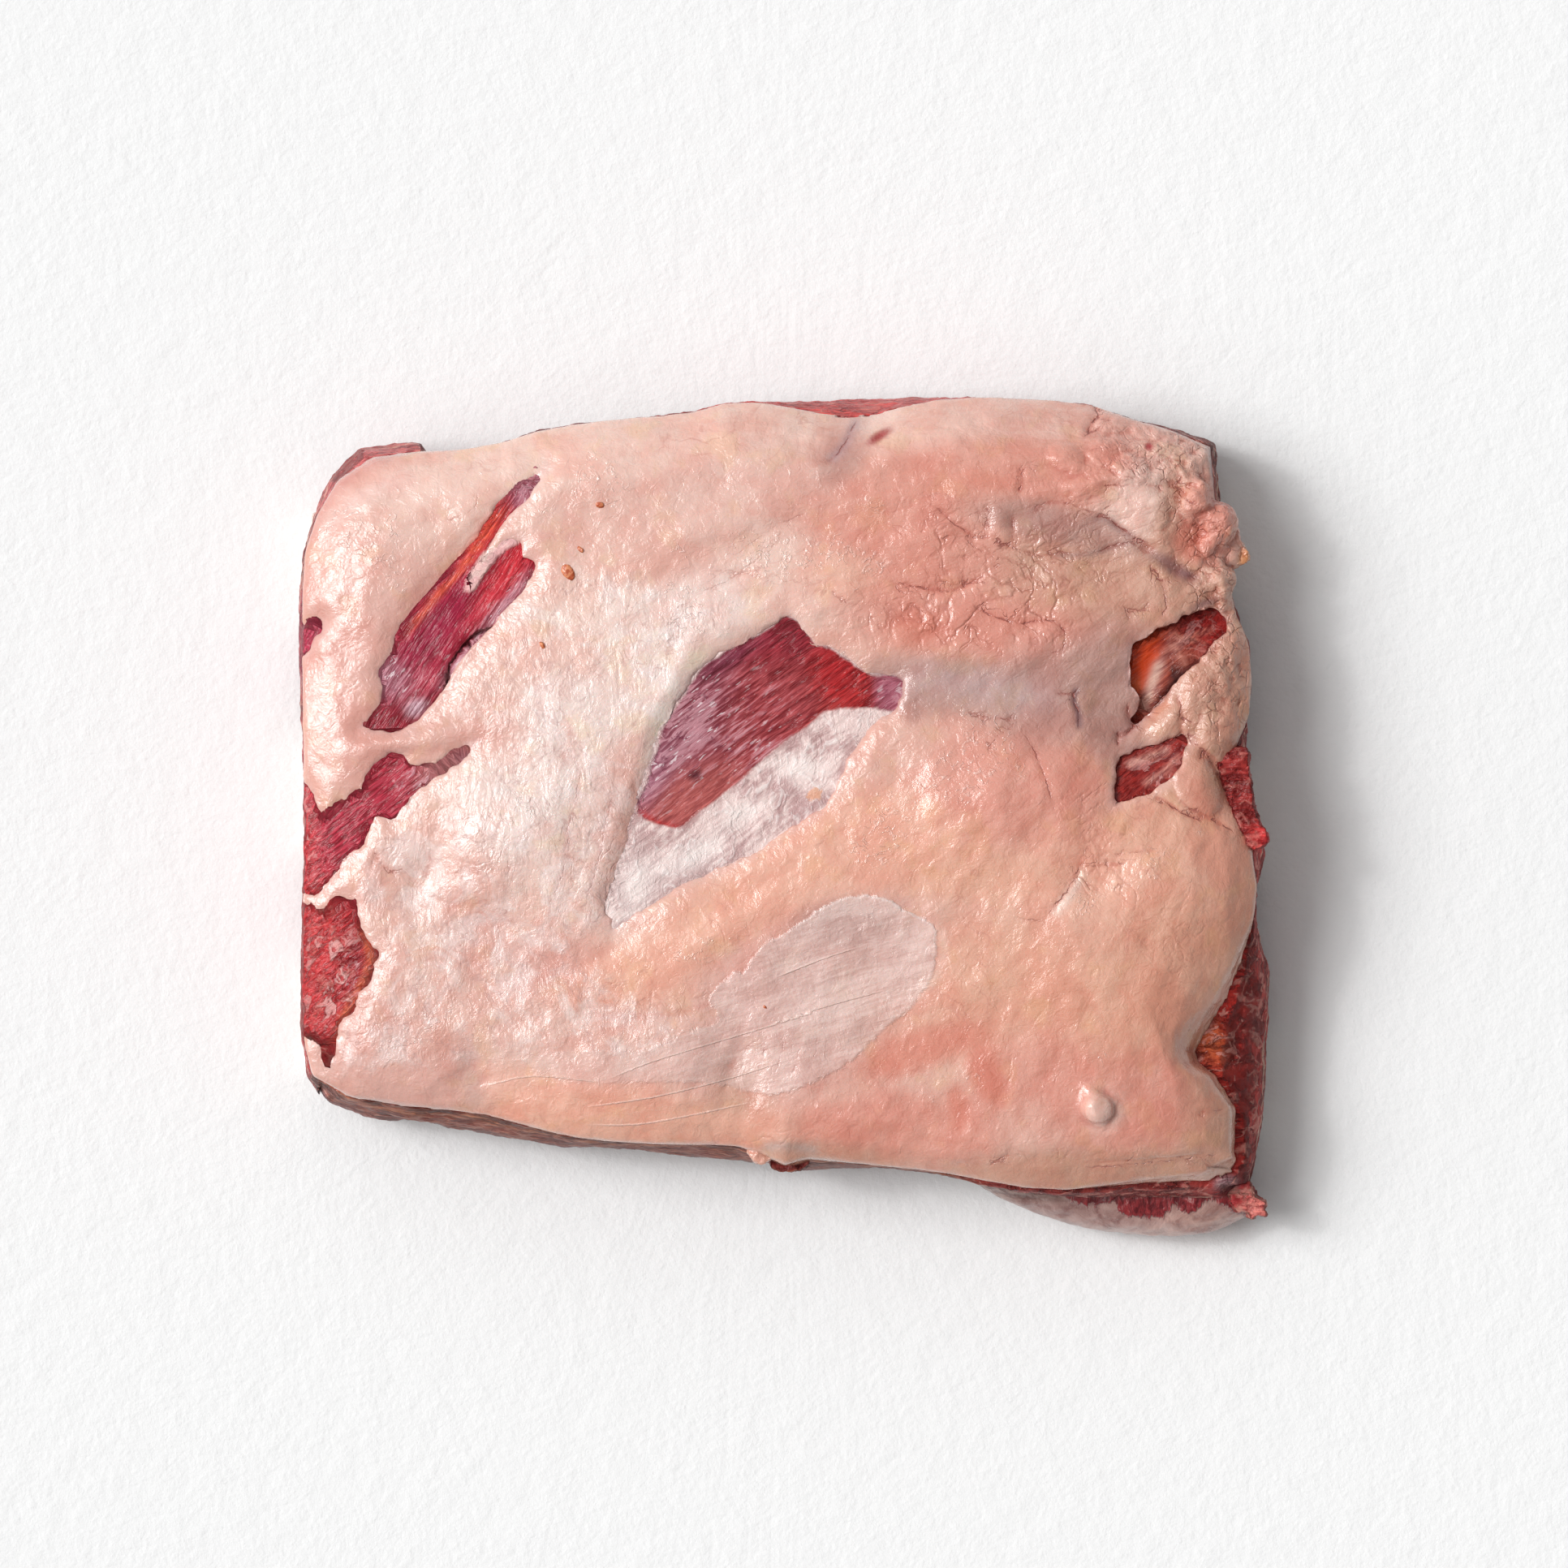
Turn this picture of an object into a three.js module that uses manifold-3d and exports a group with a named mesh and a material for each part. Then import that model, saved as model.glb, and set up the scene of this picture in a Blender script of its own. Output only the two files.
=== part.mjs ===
// A whole slab of raw beef short ribs, lying bone side down.
// Three flat rib bones run along X through the underside of the red meat, and their sawn ends show
// at both ends of the slab. A cap of fat covers the top, and muscle shows through openings trimmed
// in it. A lens of membrane-covered fat lies over the flank of the front rib.
// Millimetres, +Z up. The origin is on the ground below the middle of the slab.
import * as THREE from "three";
import { mergeVertices } from "three/addons/utils/BufferGeometryUtils.js";
import Module from "manifold-3d";

// Driving dimensions
const slabLength = 280; // along the ribs, X
const slabWidth = 243; // across the ribs, Y
const slabHeight = 57; // ground to the crest of the fat
const archRise = 5; // how far the ribs lift off the ground between their ends
const ribWidth = 35;
const ribThickness = 15;
const fatThickness = 7;
const tissueGap = 0.3; // between neighbouring pieces
const girthHeight = 19; // where the walls stand out furthest
const undersideLift = 4; // the meat's underside above the ribs' lowest line

// How finely the outlines and surfaces are drawn
const sectors = 88;
const seamCells = [10, 9];
const ribSides = 18;
const ribStations = 7;

const halfLength = slabLength / 2;
const halfWidth = slabWidth / 2;

// Outlines and places are in percent of the half length and the half width, from the middle.
const place = (u, v) => [(u / 100) * halfLength, (v / 100) * halfWidth];

const smooth = (from, to, value) => {
  const t = THREE.MathUtils.clamp((value - from) / (to - from), 0, 1);
  return t * t * (3 - 2 * t);
};

// The widest line of the slab as it lies, low on its walls.
const girthOutline = [
  [-97.5, 70.5], [-93.5, 81], [-88.5, 87.5], [-81, 89], [-75, 89], [-73.5, 86.5], [-61, 88],
  [-51, 91.5], [-37.5, 94], [-19, 96], [-10, 98.5], [16, 99.5], [29.5, 100], [43, 98.5],
  [64.5, 97.5], [73, 94], [90, 88.5], [90, 76.5], [91, 61], [93, 49.5], [96, 39.5], [95.5, 20.5],
  [96.5, 1], [100, -6], [98, -15.5], [97.5, -24], [100, -37.5], [99.5, -55], [98, -76],
  [96.5, -85.5], [98, -91], [86.5, -92], [69.5, -91], [54.5, -90], [33, -85], [16, -83.5],
  [-0.5, -84], [-8, -81], [-21, -80], [-44, -78], [-67.5, -74.5], [-91, -72], [-97, -66],
  [-99, -59.5], [-99, 1], [-100, 51], [-99, 63],
];

// The rim of the fat cap. Where it lies inside the girth, the red wall below it slopes out.
const crownOutline = [
  [-97, 69.5], [-95, 76.5], [-91, 80.5], [-85.5, 84.5], [-74.5, 86.5], [-61, 88], [-51, 91.5],
  [-37.5, 94], [-19, 96], [-10, 98.5], [-0.5, 97.5], [11, 95], [17, 95], [23.5, 97], [36, 99.5],
  [64.5, 97.5], [73, 94], [85, 89.5], [88, 86.5], [88, 78], [90, 70.5], [90.5, 61], [93, 49.5],
  [96, 39.5], [95.5, 22.5], [92, 15], [90, 11.5], [92, 6], [94.5, -1], [97.5, -17.5], [97, -23],
  [93, -35.5], [87.5, -49.5], [86.5, -54], [88.5, -58.5], [92, -66.5], [93.5, -77], [93, -83.5],
  [79.5, -86], [68, -88], [56.5, -89.5], [44.5, -88], [29.5, -84], [12.5, -81.5], [4.5, -80.5],
  [-1.5, -82.5], [-6.5, -78.5], [-31, -77], [-44, -75.5], [-62.5, -70], [-81, -67.5],
  [-89.5, -66], [-95.5, -63.5], [-98.5, -58.5], [-99, 1], [-99.5, 51], [-99, 63],
];

// Openings in the fat cap, and how far the muscle in each lies below the fat's own surface.
const openings = [
  {
    // two-pronged, at the upper left
    sink: 1.4,
    outline: [
      [-49, 83], [-53.5, 79], [-59.5, 73.5], [-63.5, 66], [-70.5, 56], [-79, 45.5], [-80, 42.5],
      [-80.5, 38.5], [-83.5, 34], [-82.5, 31], [-83, 26.5], [-87, 21.5], [-81.5, 20.5],
      [-78, 21], [-74.5, 25], [-71, 30], [-69, 36.5], [-65.5, 42], [-60.5, 46], [-56, 51],
      [-51.5, 59.5], [-54.5, 61], [-54.5, 65], [-57, 65.5], [-60.5, 61], [-65, 55],
      [-64.5, 58.5], [-61.5, 63.5], [-57.5, 71], [-53, 75.5],
    ],
  },
  {
    // the largest, in the middle
    sink: 1.6,
    outline: [
      [1, 48], [6, 41], [11, 39], [17, 34], [24, 33], [24.5, 30], [23.5, 25.5], [18.5, 23],
      [15, 17.5], [12.5, 11.5], [7.5, 1.5], [1, -3], [-9, -10], [-18.5, -14], [-26, -19],
      [-35.5, -26.5], [-37, -20.5], [-34.5, -12.5], [-30.5, 1], [-28, 10], [-25.5, 20],
      [-21, 29], [-18, 34.5], [-14, 38], [-3, 45],
    ],
  },
  {
    // reaches the sawn left end
    sink: 1.2,
    outline: [
      [-81.5, 15], [-78.5, 14.5], [-77, 12], [-72, 12.5], [-66, 16.5], [-63.5, 18], [-66, 14],
      [-70.5, 10.5], [-74.5, 7.5], [-81, 0], [-84, 1], [-87, -5.5], [-92.5, -12.5],
      [-94.5, -15], [-97, -18], [-103, -18], [-103, 8.5], [-98.5, 8], [-96.5, 2.5], [-95, -1],
      [-92, 2.5], [-89, 5], [-86.5, 6.5], [-85.5, 10.5],
    ],
  },
  {
    // reaches the sawn left end, in front of the last
    sink: 1,
    outline: [
      [-103, -20.5], [-98.5, -20.5], [-95.5, -22.5], [-94, -24], [-92, -20], [-88.5, -21],
      [-88.5, -24], [-87, -28], [-84, -31.5], [-85.5, -37], [-88.5, -44.5], [-92, -48.5],
      [-92.5, -54.5], [-94, -58], [-94.5, -53], [-99, -50], [-103, -50],
    ],
  },
  {
    // small notch in the left end
    sink: 0.8,
    outline: [[-103, 45.5], [-98, 45], [-95.5, 46.5], [-95, 43.5], [-98, 38.5], [-103, 38.5]],
  },
  {
    // deep pocket at the right
    sink: 5,
    outline: [
      [71.5, 40], [77, 44], [82, 47.5], [88, 49.5], [91.5, 47.5], [91, 44.5], [88, 41],
      [84.5, 37], [81, 32.5], [78, 29], [75, 24.5], [69, 19.5], [72.5, 25], [73.5, 28.5],
      [71.5, 31], [71, 36],
    ],
  },
  {
    // in front of the pocket
    sink: 2.5,
    outline: [
      [69, 14], [73.5, 17], [82.5, 19.5], [83, 17.5], [81.5, 13], [80, 10], [77, 7.5],
      [73.5, 5], [67.5, 2.5], [68, 8.5],
    ],
  },
];

// The plump bulge at the right, under which the fat is thicker.
const bulge = { u: 68, v: -32, reach: [34, 42], turn: 10, height: 4.5 };

// Swells and dips of the top: centre, reach across and along in mm, turn in degrees, height.
const swells = [
  bulge,
  { u: -57, v: -8, reach: [15, 20], turn: 0, height: 3 }, // pale boss
  { u: -72, v: -22, reach: [9, 24], turn: 35, height: -2 }, // valley round the boss
  { u: -40, v: -22, reach: [8, 24], turn: 5, height: -1.5 },
  { u: -46, v: 22, reach: [26, 30], turn: 20, height: 1.5 },
  { u: -6, v: 12, reach: [18, 44], turn: -50, height: -2 }, // basin of the middle opening
  { u: 44, v: 4, reach: [22, 20], turn: 0, height: 2.5 },
  { u: 56, v: -18, reach: [4, 16], turn: -55, height: -1.8 }, // fold across the bulge
  { u: 74, v: 24, reach: [9, 15], turn: -35, height: -3.5 }, // hollow of the pocket
  { u: 62, v: 63, reach: [22, 6], turn: -12, height: -2.2 }, // crease at the upper right
  { u: 40, v: 78, reach: [30, 16], turn: 0, height: 2 },
  { u: 72, v: 80, reach: [15, 11], turn: 0, height: 2.2 },
  { u: -88, v: 62, reach: [14, 22], turn: 0, height: 1.8 },
  { u: -61, v: -60, reach: [6, 18], turn: 0, height: -2 }, // soft furrows at the front edge
  { u: -12, v: -62, reach: [7, 20], turn: 0, height: -2.2 },
  { u: 18, v: -45, reach: [20, 16], turn: 0, height: -1.5 },
];

// Nuggets of fat standing proud on the ragged right edge, and the bead of fat on the top.
const lumps = [
  { u: 89, v: 69, radius: [6.5, 7.5, 5], turn: -25, sink: 1 },
  { u: 91.5, v: 63, radius: [5, 6, 5], turn: 15, sink: 5 },
  { u: 92.5, v: 60.5, radius: [4.5, 4, 5], turn: 30, sink: 8 },
  { u: 84, v: 76, radius: [6, 6, 3.5], turn: 0, sink: 0.5 },
  { u: 89, v: 55, radius: [7, 5, 4], turn: 40, sink: 2 },
  { u: 64.5, v: -69, radius: [4.6, 4.2, 4], turn: 0, sink: -1.4 },
  { u: 63, v: -65.5, radius: [2, 4, 1.8], turn: 20, sink: 0.2 },
];

// Each rib fans out towards the right: y at its left end, middle and right end, and where it is sawn.
const ribs = [
  { name: "rib_back", y: [71, 84, 79], left: -139, right: 126.5 },
  { name: "rib_middle", y: [6, 8, 0], left: -139, right: 134 },
  { name: "rib_front", y: [-59, -68, -78], left: -138.6, right: 137 },
];

// The lens of fat over the front rib's flank.
const flankFat = { centre: [101, -105, 12.6], radius: [54, 16.2, 12.4], turn: -5, sawnAt: 134.5 };

const wasm = await Module();
wasm.setup();

// A closed three.js geometry as a solid.
function solid(geometry) {
  const bare = new THREE.BufferGeometry().setAttribute("position", geometry.getAttribute("position"));
  bare.setIndex(geometry.index);
  const merged = mergeVertices(bare, 1e-4);
  return new wasm.Manifold(
    new wasm.Mesh({
      numProp: 3,
      vertProperties: merged.attributes.position.array,
      triVerts: new Uint32Array(merged.index.array),
    }),
  );
}

// Rings of points, counter-clockwise from above, joined upwards and closed by a fan at each end.
function loft(rings) {
  const count = rings[0].length;
  const points = rings.flat();
  const faces = [];
  for (let k = 0; k + 1 < rings.length; k++) {
    for (let i = 0; i < count; i++) {
      const next = (i + 1) % count;
      const [a, b, c, d] = [i, next, next + count, i + count].map((n) => n + k * count);
      faces.push(a, b, c, a, c, d);
    }
  }
  const middleOf = (ring) => [0, 1, 2].map((axis) => ring.reduce((sum, p) => sum + p[axis], 0) / count);
  const bottom = points.push(middleOf(rings[0])) - 1;
  const top = points.push(middleOf(rings[rings.length - 1])) - 1;
  const last = (rings.length - 1) * count;
  for (let i = 0; i < count; i++) {
    const next = (i + 1) % count;
    faces.push(bottom, next, i, top, last + i, last + next);
  }
  const geometry = new THREE.BufferGeometry();
  geometry.setAttribute("position", new THREE.Float32BufferAttribute(points.flat(), 3));
  geometry.setIndex(faces);
  return geometry;
}

// A smooth closed line through the points of an outline.
function closedLine(outline, pointsPerSpan) {
  const corners = outline.map(([u, v]) => new THREE.Vector3(...place(u, v), 0));
  const curve = new THREE.CatmullRomCurve3(corners, true, "centripetal");
  return curve.getPoints(outline.length * pointsPerSpan).slice(0, -1);
}

// The distance from the middle to an outline, for any direction.
function reachOf(outline) {
  const line = closedLine(outline, 6);
  return (angle) => {
    const ray = new THREE.Vector2(Math.cos(angle), Math.sin(angle));
    let reach = 0;
    line.forEach((a, i) => {
      const b = line[(i + 1) % line.length];
      const [sideA, sideB] = [a, b].map((p) => ray.x * p.y - ray.y * p.x);
      if (sideA * sideB > 0 || sideA === sideB) return;
      const hit = a.clone().lerp(b, sideA / (sideA - sideB));
      reach = Math.max(reach, ray.x * hit.x + ray.y * hit.y);
    });
    return reach;
  };
}

const girthReach = reachOf(girthOutline);
const crownReach = reachOf(crownOutline);

// The fat rolls down further at the back edge than at the sawn left end.
function edgeRoll(angle) {
  const [side, front] = [Math.cos(angle), Math.sin(angle)];
  const alongX = side < 0 ? 3 : 6;
  const alongY = front > 0 ? 9 : 5;
  return alongX * side * side + alongY * front * front;
}

const archAt = (x) => archRise * (1 - (x / halfLength) ** 2);

// How strongly a swell shows at a point, from 1 at its centre to 0 far away.
function bell({ u, v, reach, turn }, x, y) {
  const [cx, cy] = place(u, v);
  const away = new THREE.Vector2(x - cx, y - cy).rotateAround(
    new THREE.Vector2(),
    -THREE.MathUtils.degToRad(turn),
  );
  return Math.exp(-((away.x / reach[0]) ** 2) - (away.y / reach[1]) ** 2);
}

// The top surface of the slab.
function topHeight(x, y) {
  const angle = Math.atan2(y, x);
  const share = Math.min(1, Math.hypot(x, y) / crownReach(angle));
  const crest = slabHeight - 3; // the swells add the rest
  const dome = crest - 6 * (x / halfLength) ** 2 - 5 * (y / halfWidth) ** 2;
  const relief = swells.reduce((sum, swell) => sum + swell.height * bell(swell, x, y), 0);
  const roll = edgeRoll(angle) * Math.max(0, (share - 0.86) / 0.14) ** 2;
  return dome + relief - roll;
}

// Where the fat meets the meat. The fat is thicker on the bulge and thinner at the left.
function seamHeight(x, y) {
  const thicker = 3.5 * bell(bulge, x, y);
  const thinner = 1.5 * smooth(0, -halfLength, x);
  return topHeight(x, y) - fatThickness - thicker + thinner;
}

// The whole slab as one solid, its top lowered by sink.
function slab(sink = 0) {
  const angles = Array.from({ length: sectors }, (_, i) => (i / sectors) * 2 * Math.PI);
  const ring = (reach, height) =>
    angles.map((angle) => {
      const r = reach(angle);
      const [x, y] = [r * Math.cos(angle), r * Math.sin(angle)];
      return [x, y, height(x, y)];
    });
  const between = (share) => (angle) => THREE.MathUtils.lerp(girthReach(angle), crownReach(angle), share);
  const footInset = (angle) => 1 + 3 * Math.sin(angle) ** 2;
  const foot = (share) => (angle) => share * (girthReach(angle) - footInset(angle));
  const top = (x, y) => topHeight(x, y) - sink;
  const under = (x) => archAt(x) + undersideLift;
  return loft([
    ...[0.55, 1].map((share) => ring(foot(share), under)),
    ring(between(0.06), (x) => girthHeight / 2 + archAt(x) / 2),
    ring(between(0), () => girthHeight),
    ring(between(0.35), (x, y) => THREE.MathUtils.lerp(girthHeight, top(x, y), 0.45)),
    ring(between(0.85), (x, y) => THREE.MathUtils.lerp(girthHeight, top(x, y), 0.85)),
    ...[1, 0.98, 0.94, 0.87, 0.77, 0.64, 0.48, 0.3, 0.12].map((share) =>
      ring((angle) => share * crownReach(angle), top),
    ),
  ]);
}

// Everything below a height, as a block wider than the slab.
function blockBelow(height) {
  const [across, along] = seamCells;
  const [wide, deep] = [slabLength * 1.1, slabWidth * 1.1];
  const geometry = new THREE.BoxGeometry(wide, deep, 1, across, along, 1);
  const position = geometry.getAttribute("position");
  for (let i = 0; i < position.count; i++) {
    const [x, y] = [position.getX(i), position.getY(i)];
    position.setZ(i, position.getZ(i) > 0 ? height(x, y) : -20);
  }
  geometry.deleteAttribute("normal");
  geometry.deleteAttribute("uv");
  return mergeVertices(geometry, 1e-4);
}

// An upright prism on an opening's outline, its wall moved out by grow.
function prism(outline, grow) {
  const line = closedLine(outline, 1);
  const turnsLeft = THREE.ShapeUtils.area(line) > 0 ? 1 : -1;
  const moved = line.map((p, i) => {
    const [before, after] = [line.at(i - 1), line[(i + 1) % line.length]];
    const [into, away] = [p.clone().sub(before).normalize(), after.clone().sub(p).normalize()];
    const out = new THREE.Vector2(into.y + away.y, -into.x - away.x).normalize();
    const mitre = Math.max(0.35, out.x * into.y - out.y * into.x);
    return new THREE.Vector2(p.x, p.y).addScaledVector(out, (turnsLeft * grow) / mitre);
  });
  return new THREE.ExtrudeGeometry(new THREE.Shape(moved), {
    depth: slabHeight,
    bevelEnabled: false,
  }).translate(0, 0, slabHeight / 3);
}

// A ball of fat on the top surface.
function lump({ u, v, radius, turn, sink }) {
  const [x, y] = place(u, v);
  return new THREE.SphereGeometry(1, 10, 7)
    .scale(...radius)
    .rotateZ(THREE.MathUtils.degToRad(turn))
    .translate(x, y, topHeight(x, y) - sink);
}

// A flat rib: an oval section carried from one sawn end to the other.
function rib({ y, left, right }, grow) {
  const [y0, y1, y2] = y;
  const reach = grow > 0 ? 5 : 0; // a cutter runs out past both sawn ends
  const rings = Array.from({ length: ribStations }, (_, k) => {
    const x = THREE.MathUtils.lerp(left - reach, right + reach, k / (ribStations - 1));
    const t = (x - left) / (right - left);
    const middle = y0 * (1 - t) * (1 - 2 * t) + 4 * y1 * t * (1 - t) + y2 * t * (2 * t - 1);
    return Array.from({ length: ribSides }, (_, i) => {
      const angle = (i / ribSides) * 2 * Math.PI;
      const rounded = (value) => Math.sign(value) * Math.abs(value) ** 0.8;
      return [
        x,
        middle + (ribWidth / 2 + grow) * rounded(Math.cos(angle)),
        archAt(x) + ribThickness / 2 + (ribThickness / 2 + grow) * rounded(Math.sin(angle)),
      ];
    });
  });
  return loft(rings);
}

function flankLens(grow) {
  const { centre, radius, turn } = flankFat;
  return new THREE.SphereGeometry(1, 24, 12)
    .scale(...radius.map((r) => r + grow))
    .rotateZ(THREE.MathUtils.degToRad(turn))
    .translate(...centre);
}

const flesh = (color, roughness) => new THREE.MeshStandardMaterial({ color, roughness, metalness: 0 });
const materials = {
  fat: flesh(0xe3b8a4, 0.42),
  meat: flesh(0x96303a, 0.38),
  bone: flesh(0xdcc3b0, 0.5),
  flank: flesh(0xb98b7c, 0.4),
};

const group = new THREE.Group();

function addPiece(name, shape, material) {
  const { numProp, vertProperties, triVerts } = shape.getMesh();
  const vertices = new THREE.InterleavedBuffer(vertProperties, numProp);
  const geometry = new THREE.BufferGeometry();
  geometry.setAttribute("position", new THREE.InterleavedBufferAttribute(vertices, 3, 0));
  geometry.setIndex(new THREE.BufferAttribute(triVerts, 1));
  const flat = geometry.toNonIndexed();
  flat.computeVertexNormals();
  const mesh = new THREE.Mesh(flat, material);
  mesh.name = name;
  group.add(mesh);
}

const wholeSlab = solid(slab());

// The cap is what lies above the seam, with the openings cut and the lumps of fat added.
let fatCap = lumps.reduce((body, item) => body.add(solid(lump(item))), wholeSlab);
fatCap = fatCap.subtract(solid(blockBelow((x, y) => seamHeight(x, y) + tissueGap)));
for (const { outline } of openings) fatCap = fatCap.subtract(solid(prism(outline, tissueGap)));

// The meat is what lies below the seam, and it swells up into each opening.
let meat = wholeSlab.intersect(solid(blockBelow(seamHeight)));
for (const { outline, sink } of openings) {
  meat = meat.add(solid(slab(sink)).intersect(solid(prism(outline, 0))));
}
for (const item of ribs) meat = meat.subtract(solid(rib(item, tissueGap)));
meat = meat.subtract(solid(flankLens(tissueGap)));

// The lens lies against the front rib and is sawn off with the slab's right end.
const sawnOff = new THREE.BoxGeometry(slabLength, slabWidth, slabHeight);
sawnOff.translate(flankFat.sawnAt + halfLength, -halfWidth, 0);
const frontRib = ribs.find((item) => item.name === "rib_front");
const flank = solid(flankLens(0))
  .subtract(solid(sawnOff))
  .subtract(solid(rib(frontRib, tissueGap)));

const largest = (shape) =>
  shape.decompose().reduce((best, body) => (body.volume() > best.volume() ? body : best));

addPiece("fat_cap", largest(fatCap), materials.fat);
addPiece("meat", largest(meat), materials.meat);
for (const item of ribs) addPiece(item.name, solid(rib(item, 0)), materials.bone);
addPiece("flank_fat", largest(flank), materials.flank);

// The origin is set on the ground below the middle of the finished slab.
const box = new THREE.Box3().setFromObject(group);
const middle = box.getCenter(new THREE.Vector3());
group.position.set(-middle.x, -middle.y, -box.min.z);

export default group;
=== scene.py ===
# A raw slab of beef short ribs, bone side down, on a pale tabletop.
import math

import bpy
import numpy as np
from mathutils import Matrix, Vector
from mathutils.bvhtree import BVHTree


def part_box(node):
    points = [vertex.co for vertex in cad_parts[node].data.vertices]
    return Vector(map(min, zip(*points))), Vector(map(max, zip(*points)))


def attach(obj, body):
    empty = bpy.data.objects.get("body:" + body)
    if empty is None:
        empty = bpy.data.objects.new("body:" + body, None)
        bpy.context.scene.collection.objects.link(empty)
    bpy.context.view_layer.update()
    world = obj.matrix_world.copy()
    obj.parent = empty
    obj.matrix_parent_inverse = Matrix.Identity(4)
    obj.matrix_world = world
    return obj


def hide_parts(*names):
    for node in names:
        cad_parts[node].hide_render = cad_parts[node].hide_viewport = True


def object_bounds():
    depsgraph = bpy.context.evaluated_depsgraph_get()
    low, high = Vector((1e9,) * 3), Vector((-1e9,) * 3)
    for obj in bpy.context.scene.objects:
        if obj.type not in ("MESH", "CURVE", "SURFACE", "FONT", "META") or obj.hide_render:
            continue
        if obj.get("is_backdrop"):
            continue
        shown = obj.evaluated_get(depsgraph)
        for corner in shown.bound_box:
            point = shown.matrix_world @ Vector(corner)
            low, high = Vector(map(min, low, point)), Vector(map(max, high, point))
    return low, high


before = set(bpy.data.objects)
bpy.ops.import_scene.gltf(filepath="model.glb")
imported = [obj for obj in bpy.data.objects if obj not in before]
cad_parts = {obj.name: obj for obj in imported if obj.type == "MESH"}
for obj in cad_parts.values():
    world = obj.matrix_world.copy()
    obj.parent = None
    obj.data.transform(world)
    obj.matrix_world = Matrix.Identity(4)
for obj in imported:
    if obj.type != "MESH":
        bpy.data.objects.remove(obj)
cadLow, cadHigh = (Vector(corner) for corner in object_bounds())
halfLength = (cadHigh.x - cadLow.x) / 2
halfWidth = (cadHigh.y - cadLow.y) / 2
mm = 0.001
print("frame loaded")


# places and masks are laid out in percent of the half length and half width
def toMetres(points):
    return np.array(points, float) / 100 * [halfLength, halfWidth]


def closedCurve(points, steps=4):
    # a smooth closed line through the points
    p = toMetres(points)
    before, after, beyond = np.roll(p, 1, 0), np.roll(p, -1, 0), np.roll(p, -2, 0)
    line = []
    for t in np.arange(steps) / steps:
        line.append(0.5 * (2 * p + (after - before) * t
                           + (2 * before - 5 * p + 4 * after - beyond) * t ** 2
                           + (3 * p - before - 3 * after + beyond) * t ** 3))
    return np.stack(line, 1).reshape(-1, 2)


def openCurve(points, steps=3):
    p = toMetres(points)
    p = np.vstack([2 * p[0] - p[1], p, 2 * p[-1] - p[-2]])
    line = []
    for i in range(1, len(p) - 2):
        a, b, c, d = p[i - 1:i + 3]
        for t in np.arange(steps) / steps:
            line.append(0.5 * (2 * b + (c - a) * t + (2 * a - 5 * b + 4 * c - d) * t ** 2
                               + (3 * b - a - 3 * c + d) * t ** 3))
    return np.array(line + [p[-2]])


def segmentDistance(at, a, b):
    # distance to a segment, on which side of it a point lies, and how far along it
    along = b - a
    away = at - a
    t = np.clip(away @ along / max(along @ along, 1e-12), 0, 1)
    off = away - t[:, None] * along
    return np.hypot(off[:, 0], off[:, 1]), along[0] * away[:, 1] - along[1] * away[:, 0], t


def closeTo(at, line, reach):
    # which places lie within reach mm of the box round a line
    return np.all((at > line.min(0) - reach * mm) & (at < line.max(0) + reach * mm), 1)


def insideDistance(at, points, steps=3, reach=12):
    # signed distance in mm to a closed line, positive inside, no further than reach
    line = closedCurve(points, steps)
    close = closeTo(at, line, reach)
    place = at[close]
    nearest = np.full(len(place), reach * mm)
    inside = np.zeros(len(place), bool)
    for a, b in zip(line, np.roll(line, -1, 0)):
        nearest = np.minimum(nearest, segmentDistance(place, a, b)[0])
        crosses = (a[1] > place[:, 1]) != (b[1] > place[:, 1])
        if abs(b[1] - a[1]) > 1e-12:
            inside ^= crosses & (place[:, 0] < (b[0] - a[0]) * (place[:, 1] - a[1]) / (b[1] - a[1]) + a[0])
    result = np.full(len(at), -float(reach))
    result[close] = np.where(inside, nearest, -nearest) / mm
    return result


def strokeDistance(at, points, steps=3, reach=12):
    # signed distance in mm to an open line, positive on its left, and the share of it passed, 0 to 1
    line = openCurve(points, steps)
    close = closeTo(at, line, reach)
    place = at[close]
    nearest = np.full(len(place), reach * mm)
    side = np.ones(len(place))
    passed = np.zeros(len(place))
    lengths = np.hypot(*np.diff(line, axis=0).T)
    before = 0.0
    for a, b, length in zip(line, line[1:], lengths):
        distance, turn, t = segmentDistance(place, a, b)
        closer = distance < nearest
        nearest = np.where(closer, distance, nearest)
        side = np.where(closer, np.sign(turn) + (turn == 0), side)
        passed = np.where(closer, (before + t * length) / lengths.sum(), passed)
        before += length
    signed, share = np.full(len(at), float(reach)), np.zeros(len(at))
    signed[close], share[close] = nearest * side / mm, passed
    return signed, share


def smoothstep(low, high, value):
    t = np.clip((value - low) / (high - low), 0, 1)
    return t * t * (3 - 2 * t)


def fadeEnds(share):
    return smoothstep(0, 0.18, share) * smoothstep(1, 0.82, share)


def ellipse(at, u, v, reachX, reachY, turn):
    # 0 in the middle of an ellipse and 1 on its line; reaches are in mm
    centre = toMetres([[u, v]])[0]
    c, s = math.cos(math.radians(turn)), math.sin(math.radians(turn))
    away = (at - centre) / mm
    x = away[:, 0] * c + away[:, 1] * s
    y = away[:, 1] * c - away[:, 0] * s
    return (x / reachX) ** 2 + (y / reachY) ** 2


def blob(at, u, v, reachX, reachY=None, turn=0):
    # 1 in the middle of a soft spot, 0 far away
    return np.exp(-ellipse(at, u, v, reachX, reachY or reachX, turn))


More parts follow.
